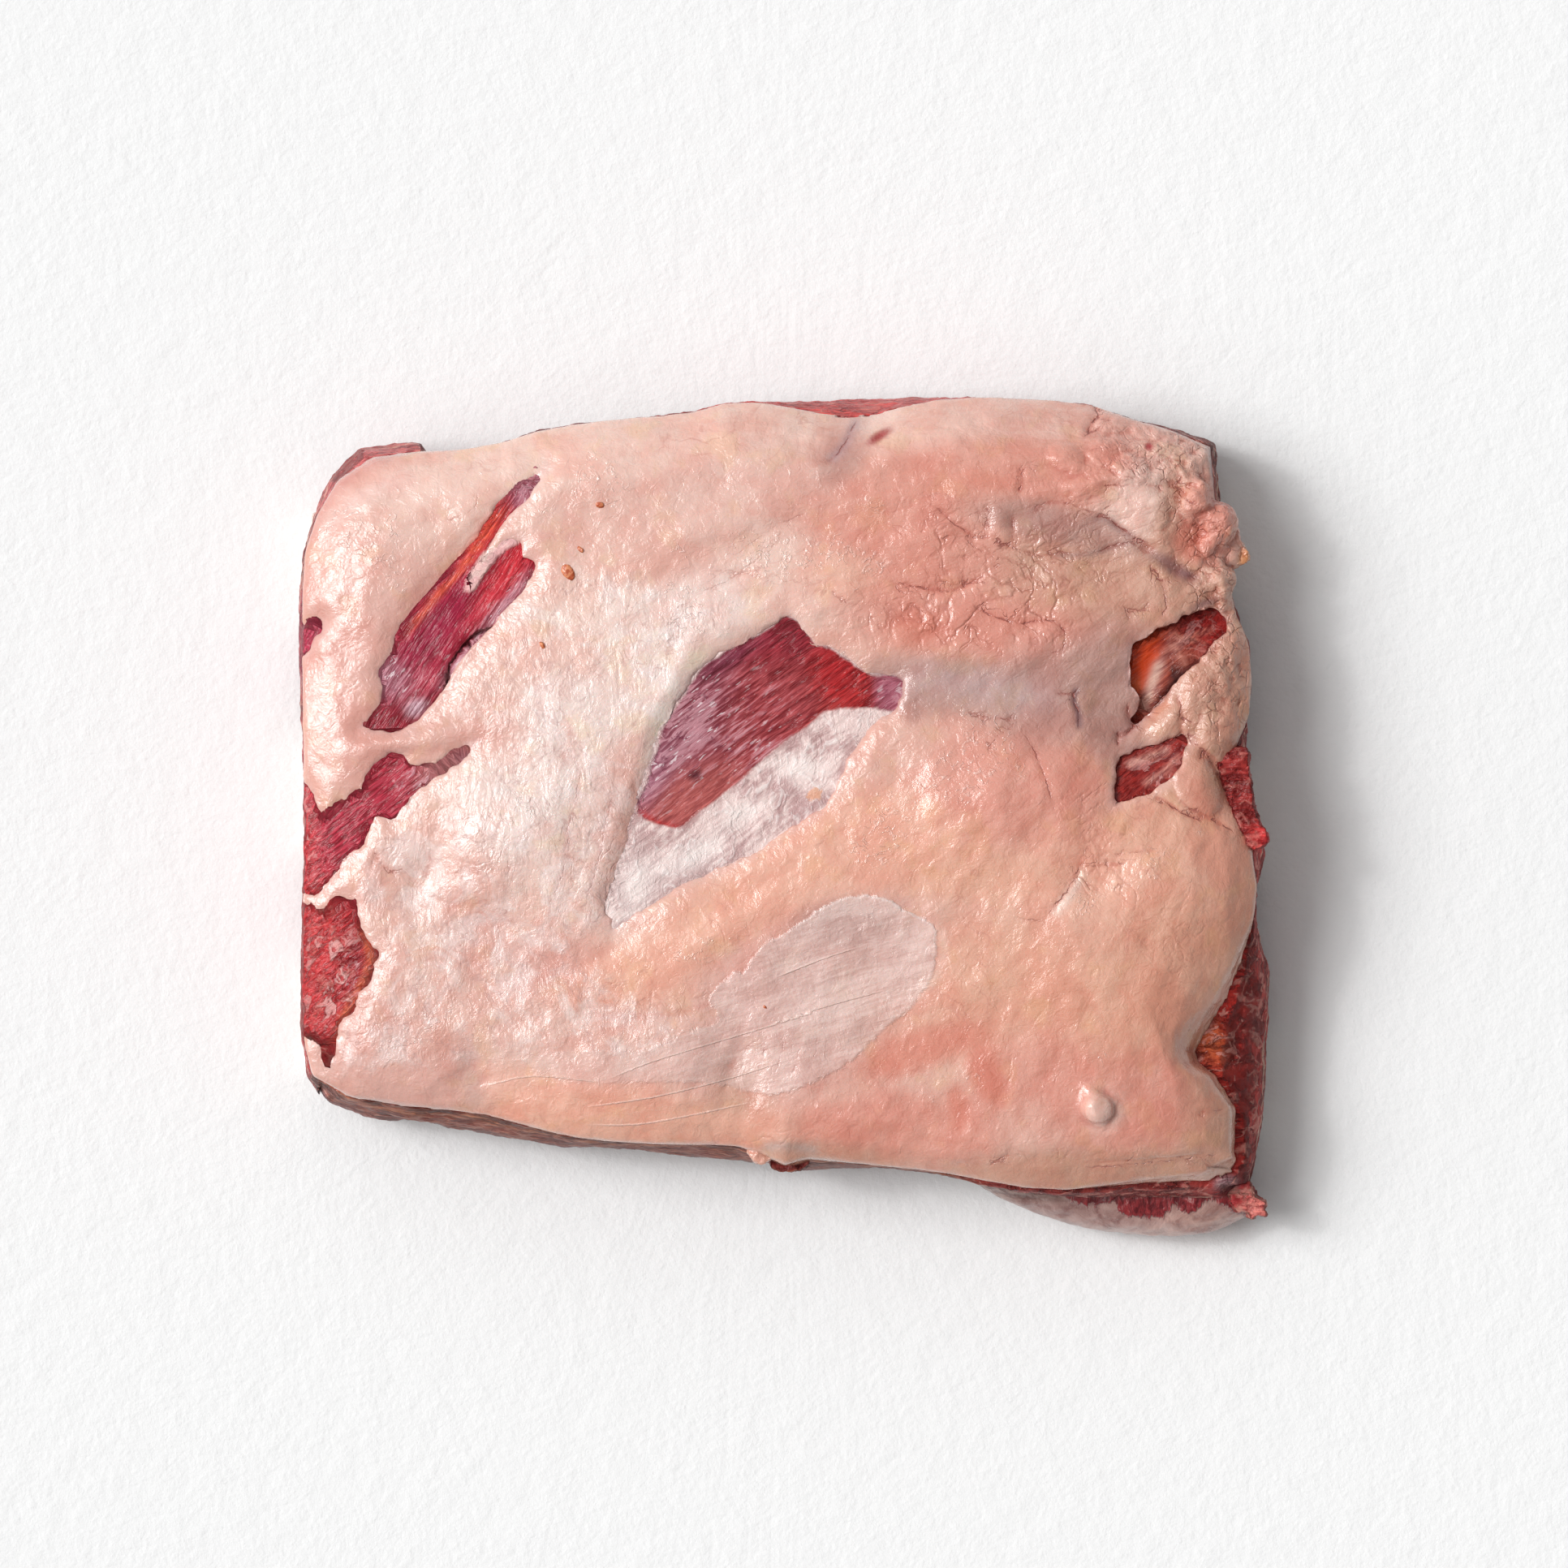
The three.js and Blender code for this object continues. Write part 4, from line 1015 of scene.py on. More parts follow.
# colour along lines: colour, strength, width in mm, points
fatBands = [
    ((0.55, 0.37, 0.36), 0.6, 5.0, [[22, 31], [32, 33], [40, 31.5], [49, 29], [59, 28]]),
    ((0.86, 0.72, 0.64), 0.6, 2.2, [[-10, 44], [-17.5, 38.5], [-22, 33], [-26, 22], [-30, 8]]),
    ((0.72, 0.45, 0.41), 0.5, 0.9, [[-41.5, 15], [-43, 5], [-44.5, -1], [-45, -8.5], [-46, -14],
                                    [-49, -21.5]]),
    ((0.72, 0.45, 0.41), 0.5, 0.9, [[-35, 8], [-37, -1], [-38, -7.5], [-39.5, -14], [-41.5, -22.5]]),
    ((0.6, 0.4, 0.35), 0.45, 3.0, [[-64, -50], [-65.5, -58], [-63, -70]]),
    ((0.42, 0.33, 0.37), 0.5, 1.6, [[16, 95], [14, 92], [12.4, 88], [8.7, 83.5]]),
    ((0.8, 0.17, 0.1), 0.8, 1.2, [[-56, 75.7], [-60, 71.6], [-64, 65.6], [-67.6, 60], [-72.4, 53.4],
                                  [-76.7, 47.8], [-80, 42]]),
    # a dark line down a deep crease: painted shade
    ((0.13, 0.08, 0.1), 0.85, 0.9, [[60.5, 31.5], [59.5, 28], [60.5, 24.5], [60.5, 20]]),
    # near black down the crevice by the pocket: painted shade
    ((0.2, 0.03, 0.02), 0.9, 0.9, [[80, 31.5], [77, 27.5], [75, 25.5], [73, 23.5], [71, 20.5]]),
    ((0.62, 0.2, 0.1), 0.6, 1.4, [[79.5, 27.5], [77.5, 26], [75.5, 24]]),
    # darker brown along two creases, partly the fat's own colour and partly painted shade
    ((0.3, 0.16, 0.15), 0.7, 1.2, [[62.5, 70.5], [66, 70.5], [69, 68], [72.5, 66]]),
    ((0.36, 0.2, 0.18), 0.6, 1.0, [[53.5, 62], [60, 62], [65, 63], [69, 64.5], [74, 65.5]]),
    ((0.85, 0.64, 0.56), 0.6, 1.6, [[54.5, -24], [57, -20.5], [60, -16], [62, -11]]),
    ((0.62, 0.24, 0.19), 0.5, 0.9, [[-10, -35], [-16, -44], [-30, -47], [-44, -46.5]]),
    ((0.85, 0.56, 0.46), 0.6, 1.4, [[31, -24], [33, -31], [30, -39], [24, -46]]),
    ((0.46, 0.36, 0.34), 0.5, 1.6, [[-6, -78.5], [0, -77.5], [8, -79]]),
    ((0.62, 0.27, 0.24), 0.7, 2.6, [[-101, 60], [-97, 72], [-91, 80], [-83, 85.5], [-74, 87]]),
    ((0.8, 0.5, 0.45), 0.5, 3.0, [[-95, 66], [-90, 74], [-82, 79], [-74, 81]]),
]


def displace(piece, kind, size, strength, groupName=None, direction="NORMAL", middle=0.5, **own):
    texture = bpy.data.textures.new(piece.name + kind, kind)
    texture.noise_scale = size * mm
    for key, item in own.items():
        setattr(texture, key, item)
    settings = {"texture": texture, "strength": strength * mm, "mid_level": middle,
                "direction": direction, "texture_coords": "LOCAL"}
    if groupName:
        settings["vertex_group"] = groupName
    applyModifier(piece, "DISPLACE", **settings)


def weigh(piece, name, weights):
    group = piece.vertex_groups.new(name=name)
    steps = np.round(np.clip(weights, 0, 1) * 20).astype(int)
    for level in range(1, 21):
        chosen = np.nonzero(steps == level)[0]
        if len(chosen):
            group.add(chosen.tolist(), level / 20, "REPLACE")


def gradient(at, distanceOf, step=0.4):
    # which way a distance grows
    dx = distanceOf(at + [step * mm, 0]) - distanceOf(at - [step * mm, 0])
    dy = distanceOf(at + [0, step * mm]) - distanceOf(at - [0, step * mm])
    size = np.maximum(np.hypot(dx, dy), 1e-6)
    return np.stack([dx / size, dy / size], 1)


def granularShare(at):
    return np.clip(blob(at, 86, 78, 16, 22) + blob(at, 90, 54, 8, 12) + blob(at, 90, 32, 10, 18)
                   + 0.5 * blob(at, 72, 84, 14, 10) - 2 * blob(at, 73, 71, 4, 9), 0, 1)


def fanOf(co):
    # places measured outwards from beyond the far right corner, where the streaks come from
    away = co[:, :2] - toMetres([cap["fanCentre"]])[0]
    reach = np.hypot(away[:, 0], away[:, 1])
    turn = np.arctan2(away[:, 1], -away[:, 0])
    return np.stack([reach, turn * 100 * mm, co[:, 2]], 1)


def storeVector(piece, name, vectors):
    attribute = piece.data.attributes.new(name, "FLOAT_VECTOR", "POINT")
    attribute.data.foreach_set("vector", vectors.astype(np.float32).ravel())


def storeFatLooks(piece):
    # everything that the fat's material reads
    co = points(piece)
    at = co[:, :2]
    _, creaseSide, creaseOn = strokes(at, withBranches(creases))
    _, scoreSide, scoreOn = strokes(at, scores)
    storeColour(piece, "tint", paint(fatBase, at, fatSpots, fatBands))
    storeVector(piece, "fan", fanOf(co))
    store(piece, "hollow", hollows(piece))
    store(piece, "granular", granularShare(at))
    store(piece, "puckers", np.clip(sum(share * blob(at, *place) for share, *place in puckered), 0, 1))
    store(piece, "wet", np.clip(sum(share * blob(at, *place) for share, *place in wetFolds), 0, 1))
    store(piece, "fasciaEdge", insideDistance(at, patches["fascia"]))
    ragged = 3.2 * ripple(at, 8, 21) * blob(at, -10, -38, 30, 14, 35)
    store(piece, "silverEdge", insideDistance(at, patches["silver"]) + ragged)
    silver = 0.8 + 0.2 * blob(at, 10, -35, 40, 25) - 0.45 * blob(at, -45, -60, 30, 14)
    store(piece, "silverOn", np.clip(silver, 0, 1))
    store(piece, "silverRim", blob(at, 18, -26, 24, 14, 20))
    store(piece, "rimEdge", openingDistance(at))
    store(piece, "creaseSide", creaseSide)
    store(piece, "creaseOn", creaseOn)
    store(piece, "scoreSide", scoreSide)
    store(piece, "scoreOn", scoreOn * 6)


def evenedOut(at, height, share):
    # pulls part of the top towards the smooth shape of what lies round it
    x, y = at.T
    terms = np.stack([np.ones(len(at)), x, y, x * x, x * y, y * y], 1)
    ring = (share > 0.02) & (share < 0.25)
    fit = np.linalg.lstsq(terms[ring], height[ring], rcond=None)[0]
    return height + share * (terms @ fit - height)


leftInset = 0.8  # mm


def shiftIn(piece):
    # what lies on top at the left sits a little further in
    co = points(piece)
    u, v = co[:, 0] / halfLength, np.abs(co[:, 1]) / halfWidth
    share = smoothstep(0.3, -0.3, u) * smoothstep(0.99, 0.84, v) * smoothstep(22, 34, co[:, 2] / mm)
    co[:, 0] += leftInset * mm * share
    movePoints(piece, co)


def makeFatCap(material):
    piece = copyOfNode("fat_cap", "fatCap")
    remesh(piece, cap["voxel"], 2)
    weigh(piece, "leftEdge", blob(points(piece)[:, :2], -89, 48, 8, 26) * (normals(piece)[:, 2] > 0.3))
    applyModifier(piece, "SMOOTH", factor=0.5, iterations=40, vertex_group="leftEdge")
    piece.vertex_groups.clear()
    co, up = points(piece), normals(piece)[:, 2]
    at = co[:, :2]
    onTop = smoothstep(0.05, 0.5, up)
    underneath = up < -0.45
    back = np.array(cap["drawnBack"])
    drawn = np.interp(-at[:, 1], -back[:, 0] * halfWidth / 100, back[:, 1], 0, 0)
    edge = openingDistance(at)
    nearOpening = np.abs(edge) < 5

    # ragged thin rims creep in over the muscle
    inward = gradient(at[nearOpening], openingDistance)
    torn = 1 - 0.75 * blob(at, -67, 52, 16, 46, -35) + 0.7 * blob(at, -88, -36, 14, 24)
    torn += 0.7 * blob(at, 84, 42, 10, 10)
    ragged = 0.7 * ripple(at[nearOpening], 6, 3) + 0.5 * ripple(at[nearOpening], 2.4, 4)
    creep = 0.2 + torn[nearOpening] * ragged
    creep *= 1 - smoothstep(1.5, 5, np.abs(edge[nearOpening]))
    creep += cap["notchCreep"] * blob(at[nearOpening], -95.5, 41, 3.5, 4.5)
    creep -= np.clip(edge[nearOpening], 0, 4) * blob(at[nearOpening], -60, 44, 10, 34, -35)
    co[nearOpening, :2] += inward * creep[:, None] * mm
    movePoints(piece, co)
    drop = cap["rimDrop"] * (1 - smoothstep(0.2, cap["rimReach"], -edge))
    drop *= (1 - 0.8 * blob(at, 27, 28, 7, 8)) * (1 + 1.1 * blob(at, -29, 10, 7, 34, -20))
    wavy = at + mm * np.stack([ripple(at, 4, 5), ripple(at, 4, 6)], 1)
    co[:, 2] = evenedOut(at, co[:, 2], onTop * np.clip(1.3 * blob(at, -59, -56, 17, 11), 0, 1))
    relief = strokes(at, withBranches(creases))[0] + domes(wavy, lumps) - drop
    relief += sum(height * blob(at, *place) for height, *place in swells)
    relief += cap["streakRelief"] * ripple(fanOf(co)[:, :2] / [3.4, 1], 6, 7)
    co[:, 2] += relief * onTop * mm
    co[:, 0] -= drawn * smoothstep(0.74, 0.9, at[:, 0] / halfLength) * mm
    u, v = at[:, 0] / halfLength, at[:, 1] / halfWidth
    trimmed = smoothstep(-0.78, -0.83, v) * smoothstep(0.2, 0.45, u) * smoothstep(0.95, 0.88, u)
    co[:, 1] += cap["frontTrim"] * mm * trimmed
    movePoints(piece, co)

    weigh(piece, "top", onTop * smoothstep(1.5, 6, np.abs(edge)))
    weigh(piece, "granular", onTop * granularShare(at))
    displace(piece, "CLOUDS", 12, cap["lumps"], "top", noise_depth=2)
    displace(piece, "CLOUDS", 4, cap["smallLumps"], "top", noise_depth=2)
    displace(piece, "VORONOI", 3.8, -cap["granules"], "granular", middle=0.35)
    displace(piece, "CLOUDS", 2.4, 1.1, "granular", noise_depth=2)
    piece.vertex_groups.clear()
    thin(piece, underneath.astype(float), cap["keptUnderneath"])
    storeFatLooks(piece)
    shiftIn(piece)
    return finishPiece(piece, material, "fat", "fat_cap")


# the red meat, with its windows, cut walls and underside
body = {
    "voxel": 1.05,
    "backStep": 2.7,
    "grainAtLeft": 55.0,
    "grainBehind": 36.0,
    "grainInFront": 38.0,
    "plugSpread": 2.6,
    "windowLift": 0.3,
    "skirtDrop": 0.9,
    "windowDepth": 2.2,
    "stripHeight": 0.3,
    "spread": 5.5,
}

# how far the lower layers stick out in front and at the right, seen from above
frontEdge = [[-96, -60], [-92, -65.6], [-86, -69], [-71, -73.2], [-58.5, -75.6], [-46, -78.2],
             [-33, -78.4], [-21, -80.2], [-8, -81.7], [2, -82]]
rightEdge = [[97.2, -28], [99.6, -34], [100.3, -37], [100, -44], [99.7, -55], [99.2, -65],
             [98.6, -73], [97.2, -82], [96.4, -87]]

meatBase = (0.28, 0.04, 0.035)
meatSpots = [
    ((0.42, 0.02, 0.055), 1, -65, 52, 12, 26, -35),
    ((0.7, 0.035, 0.045), 2.2, -57.5, 58, 3.4, 13, -35),
    ((0.3, 0.008, 0.045), 1.8, -71, 46, 3.6, 15, -38),
    ((0.7, 0.045, 0.035), 1.8, -62, 67, 3, 8, -33),
    ((0.5, 0.18, 0.24), 1.6, -52, 79, 4, 7, -30),
    ((0.5, 0.2, 0.26), 1.4, -81, 33, 4, 4, 0),
    ((0.6, 0.4, 0.46), 2, -76, 25.5, 2.4, 1.8, 30),
    ((0.28, 0.01, 0.025), 1.6, -79, 22.5, 8, 2.4, 0),
    ((0.29, 0.02, 0.035), 1, -1, 43, 12, 6, 20),
    ((0.46, 0.02, 0.025), 1, 11, 35, 6, 6, 0),
    ((0.4, 0.018, 0.02), 1.4, 14, 29, 5, 4, -30),
    ((0.42, 0.12, 0.17), 2, 21.5, 29, 3, 5, 0),
    ((0.4, 0.12, 0.16), 1, -20, 24, 9, 13, -30),
    ((0.46, 0.2, 0.27), 1.5, -27, 13, 4, 9, -20),
    ((0.44, 0.07, 0.08), 1, -5, 24, 10, 12, -40),
    ((0.5, 0.12, 0.11), 1.2, -19, 4, 11, 7, 35),
    ((0.42, 0.035, 0.03), 1.6, 1, 15, 14, 2.6, 42),
    # a near-black spot where a small hole is: painted shade
    ((0.08, 0.01, 0.02), 7, -18.6, 10, 1.2, 0.8, 20),
    ((0.2, 0.03, 0.06), 2, -14, 36, 12, 2, 30),
    ((0.46, 0.03, 0.06), 1, -86, 0, 16, 16, 0),
    ((0.56, 0.2, 0.2), 2.6, -71, 11.5, 5.5, 2.8, 40),
    ((0.62, 0.05, 0.06), 1.4, -99, -4, 3, 12, 0),
    ((0.52, 0.03, 0.035), 1.4, -95, -36, 8, 18, 0),
    ((0.36, 0.02, 0.03), 1.2, -89, -34, 3, 6, 0),
    ((0.4, 0.06, 0.03), 1.2, 77, 33, 5, 8, -22),
    ((0.62, 0.06, 0.012), 7, 73.6, 36, 3.4, 7, -22),
    ((0.6, 0.15, 0.05), 4, 72.2, 31.5, 1.6, 2, 0),
    ((0.3, 0.016, 0.014), 1.4, 86, 44, 8, 4, 20),
    ((0.26, 0.065, 0.045), 1.6, 80.5, 39, 5, 5, 30),
    ((0.7, 0.56, 0.5), 1.6, 76.5, 34.5, 1.2, 5, -24),
    # near black in the pocket's crevice: painted shade
    ((0.035, 0.01, 0.01), 3, 80.3, 31.5, 2.2, 5, -35),
    ((0.3, 0.02, 0.016), 1, 75, 11, 11, 9, 0),
    ((0.32, 0.028, 0.026), 1, 95, 6, 7, 12, 0),
    ((0.66, 0.05, 0.05), 4, 98, -5.5, 2.6, 3, 0),
    ((0.4, 0.03, 0.035), 4, 93, -89, 3.4, 2.6, 0),
    ((0.7, 0.2, 0.17), 5, 98, -93, 3.2, 2.4, 0),
    ((0.6, 0.44, 0.46), 4, 91.6, -87, 2, 1.4, 0),
    ((0.38, 0.02, 0.015), 1.2, 96, -50, 9, 34, 0),
    ((0.46, 0.09, 0.03), 2.2, 88.5, -53, 3, 5, 20),
    ((0.64, 0.08, 0.075), 1.4, 18, 99, 30, 5, 0),
    ((0.5, 0.05, 0.1), 1.2, -98, 42, 6, 7, 0),
    ((0.6, 0.14, 0.14), 1, -88, 84, 18, 10, 0),
    ((0.46, 0.05, 0.06), 1, -90, 88, 14, 3, 30),
    ((0.24, 0.05, 0.035), 1, 92, 86, 6, 12, 0),
]
meatBands = [
    ((0.82, 0.13, 0.06), 0.8, 1.0, [[-55, 75], [-59.2, 71], [-63, 65], [-66.8, 58.5], [-71.6, 52.5],
                                    [-75.8, 46.5], [-79.2, 41]]),
    ((0.62, 0.36, 0.42), 0.6, 1.3, [[-51.5, 61], [-55.5, 53.5], [-59.5, 48.5], [-63.5, 42],
                                    [-68, 36], [-73, 27]]),
    ((0.55, 0.012, 0.015), 0.7, 0.7, [[-31.5, 2.5], [-28, 0], [-25, -1.6], [-21, -2.4]]),
    ((0.8, 0.2, 0.08), 0.7, 1.0, [[-88, -24], [-85.5, -33], [-87.5, -40], [-91, -47.5], [-92, -55]]),
    ((0.6, 0.32, 0.26), 0.7, 1.2, [[69.5, 12], [73, 13.5], [77.5, 15.3], [80, 16]]),
    ((0.58, 0.3, 0.25), 0.6, 1.1, [[73, 7.5], [77, 10], [80, 13], [81.5, 16]]),
    ((0.5, 0.2, 0.15), 0.6, 0.9, [[79, 40], [82, 42], [85, 43.5], [89, 45]]),
    ((0.66, 0.42, 0.34), 0.9, 1.7, [[77.6, 38], [76.4, 34], [75, 29], [73, 24]]),
    ((0.5, 0.2, 0.15), 0.7, 0.7, [[78.5, 42], [81, 39], [82.5, 35.5]]),
    ((0.5, 0.2, 0.15), 0.7, 0.6, [[79, 44], [83, 42], [87.5, 41]]),
    # near black down the pocket's crevice: painted shade
    ((0.03, 0.005, 0.005), 0.9, 1.0, [[79.4, 37], [80.4, 33.5], [79.6, 30], [76.5, 26.5]]),
    ((0.62, 0.36, 0.42), 0.55, 1.6, [[-63, 16], [-69, 8], [-74.5, 3], [-80.5, -2]]),
    ((0.2, 0.04, 0.07), 0.55, 0.6, [[-23, 17], [-20.5, 19.3], [-17, 19], [-13, 16.5], [-9, 15]]),
]


# the colour underneath, then the front wall's from the bottom up: where each layer starts and is full,
# in mm, and its colour
underneathColour = (0.4, 0.2, 0.18)
frontLowest = (0.28, 0.12, 0.14)
frontLayers = [
    (15, 20, (0.31, 0.12, 0.1)),
    (21, 25, (0.37, 0.14, 0.1)),
    (34, 36, (0.46, 0.17, 0.09)),
    (38, 39.5, (0.18, 0.06, 0.035)),
]

# where a bluish membrane lies over the muscle, and where its grain is hidden:
# share, place, reach in mm, turn in degrees
veiled = [
    (0.75, -24, 20, 12, 20, -25), (0.5, -10, 20, 16, 14), (0.6, -81, 32, 6, 8), (0.7, -53, 78, 5, 9, -30),
    (0.8, -62, 44, 3, 20, -38), (0.5, 22, 28, 6, 6), (0.6, -75, 8, 6, 4, 30), (0.3, -90, -38, 5, 9),
]
sleekPlaces = [
    (1, 74, 34, 4.5, 9, -22), (0.8, -68, 14, 6, 3, 40), (0.5, -20, 8, 14, 16, -30),
    (0.35, -70, 46, 10, 30, -35), (0.7, 24, 29, 5, 7),
]


def storeMeatLooks(piece, inside, marbled):
    # everything that the meat's material reads
    co, normal = points(piece), normals(piece)
    at = co[:, :2]
    endOn = smoothstep(0.5, 0.8, np.abs(normal[:, 0]))
    atLeft = smoothstep(0.45 * halfLength, 0.3 * halfLength, at[:, 0])
    frontOn = smoothstep(0.3, 0.7, -normal[:, 1]) * atLeft
    below = smoothstep(0.45, 0.75, -normal[:, 2])
    onWall = 1 - inside
    tint = paint(meatBase, at, meatSpots, meatBands)
    height = co[:, 2] / mm + 2.5 * ripple(at, 9, 12)
    layers = np.array(frontLowest) * np.ones((len(at), 1))
    for low, high, rgb in frontLayers:
        layers += smoothstep(low, high, height)[:, None] * (np.array(rgb) - layers)
    share = (0.92 * frontOn * onWall)[:, None]
    tint = tint * (1 - share) + share * layers
    share = (0.7 * below)[:, None]
    tint = tint * (1 - share) + share * np.array(underneathColour)
    storeColour(piece, "tint", tint)
    angle = np.where(at[:, 0] < -0.45 * halfLength, body["grainAtLeft"], body["grainBehind"])
    angle = np.where(at[:, 1] < 0.2 * halfWidth, body["grainInFront"], angle) * math.pi / 180
    along = at[:, 0] * np.cos(angle) + at[:, 1] * np.sin(angle)
    across = at[:, 1] * np.cos(angle) - at[:, 0] * np.sin(angle)
    grain = np.stack([along * inside + (co[:, 0] * (1 - endOn) + co[:, 1] * endOn) * onWall,
                      across * inside + co[:, 1] * (1 - endOn) * onWall + co[:, 0] * endOn * onWall,
                      co[:, 2] * 2], 1)
    storeVector(piece, "grain", grain)
    veil = (0.1 + sum(share * blob(at, *place) for share, *place in veiled)) * inside
    veil *= at[:, 0] < 0.5 * halfLength
    store(piece, "veil", np.clip(veil, 0, 1))
    sleek = sum(share * blob(at, *place) for share, *place in sleekPlaces)
    store(piece, "sleek", np.clip(sleek, 0, 1) * inside)
    cut = onWall * (1 - 0.85 * frontOn) * (1 - below) * marbled
    cut *= (1 - 0.6 * blob(at, -88, 84, 18, 10)) * (1 - 0.7 * blob(at, 20, 100, 40, 6))
    raw = 0.55 * blob(at, -93, -37, 8, 18) + 0.6 * blob(at, 84, 41, 7, 8) + 0.3 * blob(at, 77, 11, 9, 9)
    store(piece, "cut", np.clip(cut + raw * inside, 0, 1))
    store(piece, "layered", 0.9 * frontOn * onWall)
    sawn = (blob(at, -93, -38, 9, 18) + 0.6 * blob(at, -99, -5, 6, 18) + 0.35 * blob(at, 85, 44, 8, 6)
            + 0.5 * blob(at, 77, 11, 9, 9))
    store(piece, "marbled", np.clip(sawn, 0, 1) * inside)
    store(piece, "seamAt", (co[:, 2] / mm - 25) * (1 - inside) + 40 * inside)
    middle = insideDistance(at, openings["middle"]) + 3
    sheet = np.minimum(middle, -insideDistance(at, patches["muscleInMiddle"]))
    store(piece, "sheetEdge", np.where(inside > 0.1, sheet, -20))
    strip = insideDistance(at, patches["strip"])
    store(piece, "stripEdge", np.where(inside > 0.1, strip, -20))
    sheen = 0.8 * blob(at, 3, 11.5, 7, 3.0, 0) + 0.8 * blob(at, -9, 1, 6, 3, 30)
    sheen += blob(at, -19, -9, 10, 4, 30) + 0.8 * blob(at, -31, -16, 6, 10, -20)
    store(piece, "sheen", 0.8 * np.clip(sheen, 0, 1))
    store(piece, "orangeFleck", blob(at, 6, 5.5, 3, 2.2, 20))
    store(piece, "hollow", hollows(piece))


def makeMeat(material):
    piece = copyOfNode("meat", "meatBody")
    remesh(piece, body["voxel"], 2)
    co, normal = points(piece), normals(piece)
    at = co[:, :2]
    edge = openingDistance(at)
    surface = capTop(at)
    inWindow = (edge > -0.8) & (co[:, 2] > surface - 11 * mm)
    outward = -gradient(at[inWindow], openingDistance)
    spread = body["plugSpread"] * (1 - smoothstep(0.3, 3.0, edge[inWindow]))
    spread *= np.maximum(smoothstep(0.1, 0.4, normal[inWindow, 2]),
                         smoothstep(-0.96, -0.93, at[inWindow, 0] / halfLength))
    co[inWindow, :2] += outward * spread[:, None] * mm
    co[inWindow, 2] -= body["skirtDrop"] * mm * (1 - smoothstep(-0.9, 0.5, edge[inWindow]))
    shallow = 1 - smoothstep(0.55 * halfLength, 0.65 * halfLength, at[:, 0])
    reached = (edge > -2) & (normal[:, 2] > 0.3) & (co[:, 2] > surface - 12 * mm)
    missing = np.clip(surface - body["windowDepth"] * mm - co[:, 2], 0, None)
    filled = np.clip(1.6 * blob(at, -60, 42, 9, 24, -35), 0, 1)
    co[:, 2] += reached * missing * smoothstep(-1.8, -0.4, edge) * filled
    levelShare = smoothstep(0.2, 0.6, normal[:, 2]) * smoothstep(-1, 0.5, edge)
    co[:, 2] += body["windowLift"] * mm * levelShare * shallow

    # lower layers stick out past the fat in front and at the right
    front, right = toMetres(frontEdge), toMetres(rightEdge)
    bulging = smoothstep(4, 10, co[:, 2] / mm) * (1 - smoothstep(24, 37, co[:, 2] / mm))
    goal = np.interp(at[:, 0], front[:, 0], front[:, 1])
    ranged = (at[:, 0] > front[0, 0]) & (at[:, 0] < front[-1, 0]) & (at[:, 1] < goal + 9 * mm)
    nearFront = smoothstep(8, 2, (at[:, 1] - goal) / mm) * ranged
    co[:, 1] -= nearFront * bulging * np.clip(at[:, 1] - goal, -2 * mm, body["spread"] * mm)
    goal = np.interp(-at[:, 1], -right[:, 1], right[:, 0])
    ranged = (at[:, 1] < right[0, 1]) & (at[:, 1] > right[-1, 1]) & (at[:, 0] > goal - 14 * mm)
    nearRight = smoothstep(13, 8, (goal - at[:, 0]) / mm) * ranged
    bulging = smoothstep(4, 10, co[:, 2] / mm) * (1 - smoothstep(20, 38, co[:, 2] / mm))
    co[:, 0] += nearRight * bulging * np.clip(goal - at[:, 0], 0, 10 * mm)
    u, v = at[:, 0] / halfLength, at[:, 1] / halfWidth
    stepped = smoothstep(-0.75, -0.74, u) * smoothstep(-0.58, -0.66, u) * smoothstep(0.78, 0.84, v)
    co[:, 1] -= body["backStep"] * mm * stepped
    strip = smoothstep(-1.2, 1.0, insideDistance(at, patches["strip"]))
    co[:, 2] += body["stripHeight"] * mm * strip * levelShare
    movePoints(piece, co)

    co, normal = points(piece), normals(piece)
    at = co[:, :2]
    up = normal[:, 2]
    edge = openingDistance(at)
    windowShare = smoothstep(-1.5, 0.5, edge) * smoothstep(0.2, 0.6, up)
    wall = 1 - smoothstep(0.45, 0.8, np.abs(up))
    ledge = smoothstep(0.2, 0.5, up) * (1 - smoothstep(-3, -1, edge))
    below = smoothstep(0.5, 0.8, -up)
    weigh(piece, "window", windowShare)
    weigh(piece, "wall", np.clip(wall + ledge, 0, 1))
    displace(piece, "CLOUDS", 7, 1.0, "window", noise_depth=2)
    displace(piece, "CLOUDS", 9, 1.6, "wall", noise_depth=2)
    displace(piece, "CLOUDS", 2.6, 0.9, "wall", noise_depth=2)
    piece.vertex_groups.clear()
    deepDown = surface - co[:, 2] > 4 * mm
    hidden = (up > 0.4) & (edge < -4) & deepDown & (np.abs(at[:, 0]) < 0.9 * halfLength)
    thin(piece, (hidden | (below > 0.5)).astype(float), 0.5)

    co = points(piece)
    edge = openingDistance(co[:, :2])
    inside = smoothstep(-3, 0, edge) * smoothstep(0.0, 0.4, normals(piece)[:, 2])
    storeMeatLooks(piece, inside, 1.0)
    shiftIn(piece)
    return finishPiece(piece, material, "meat", "meat")


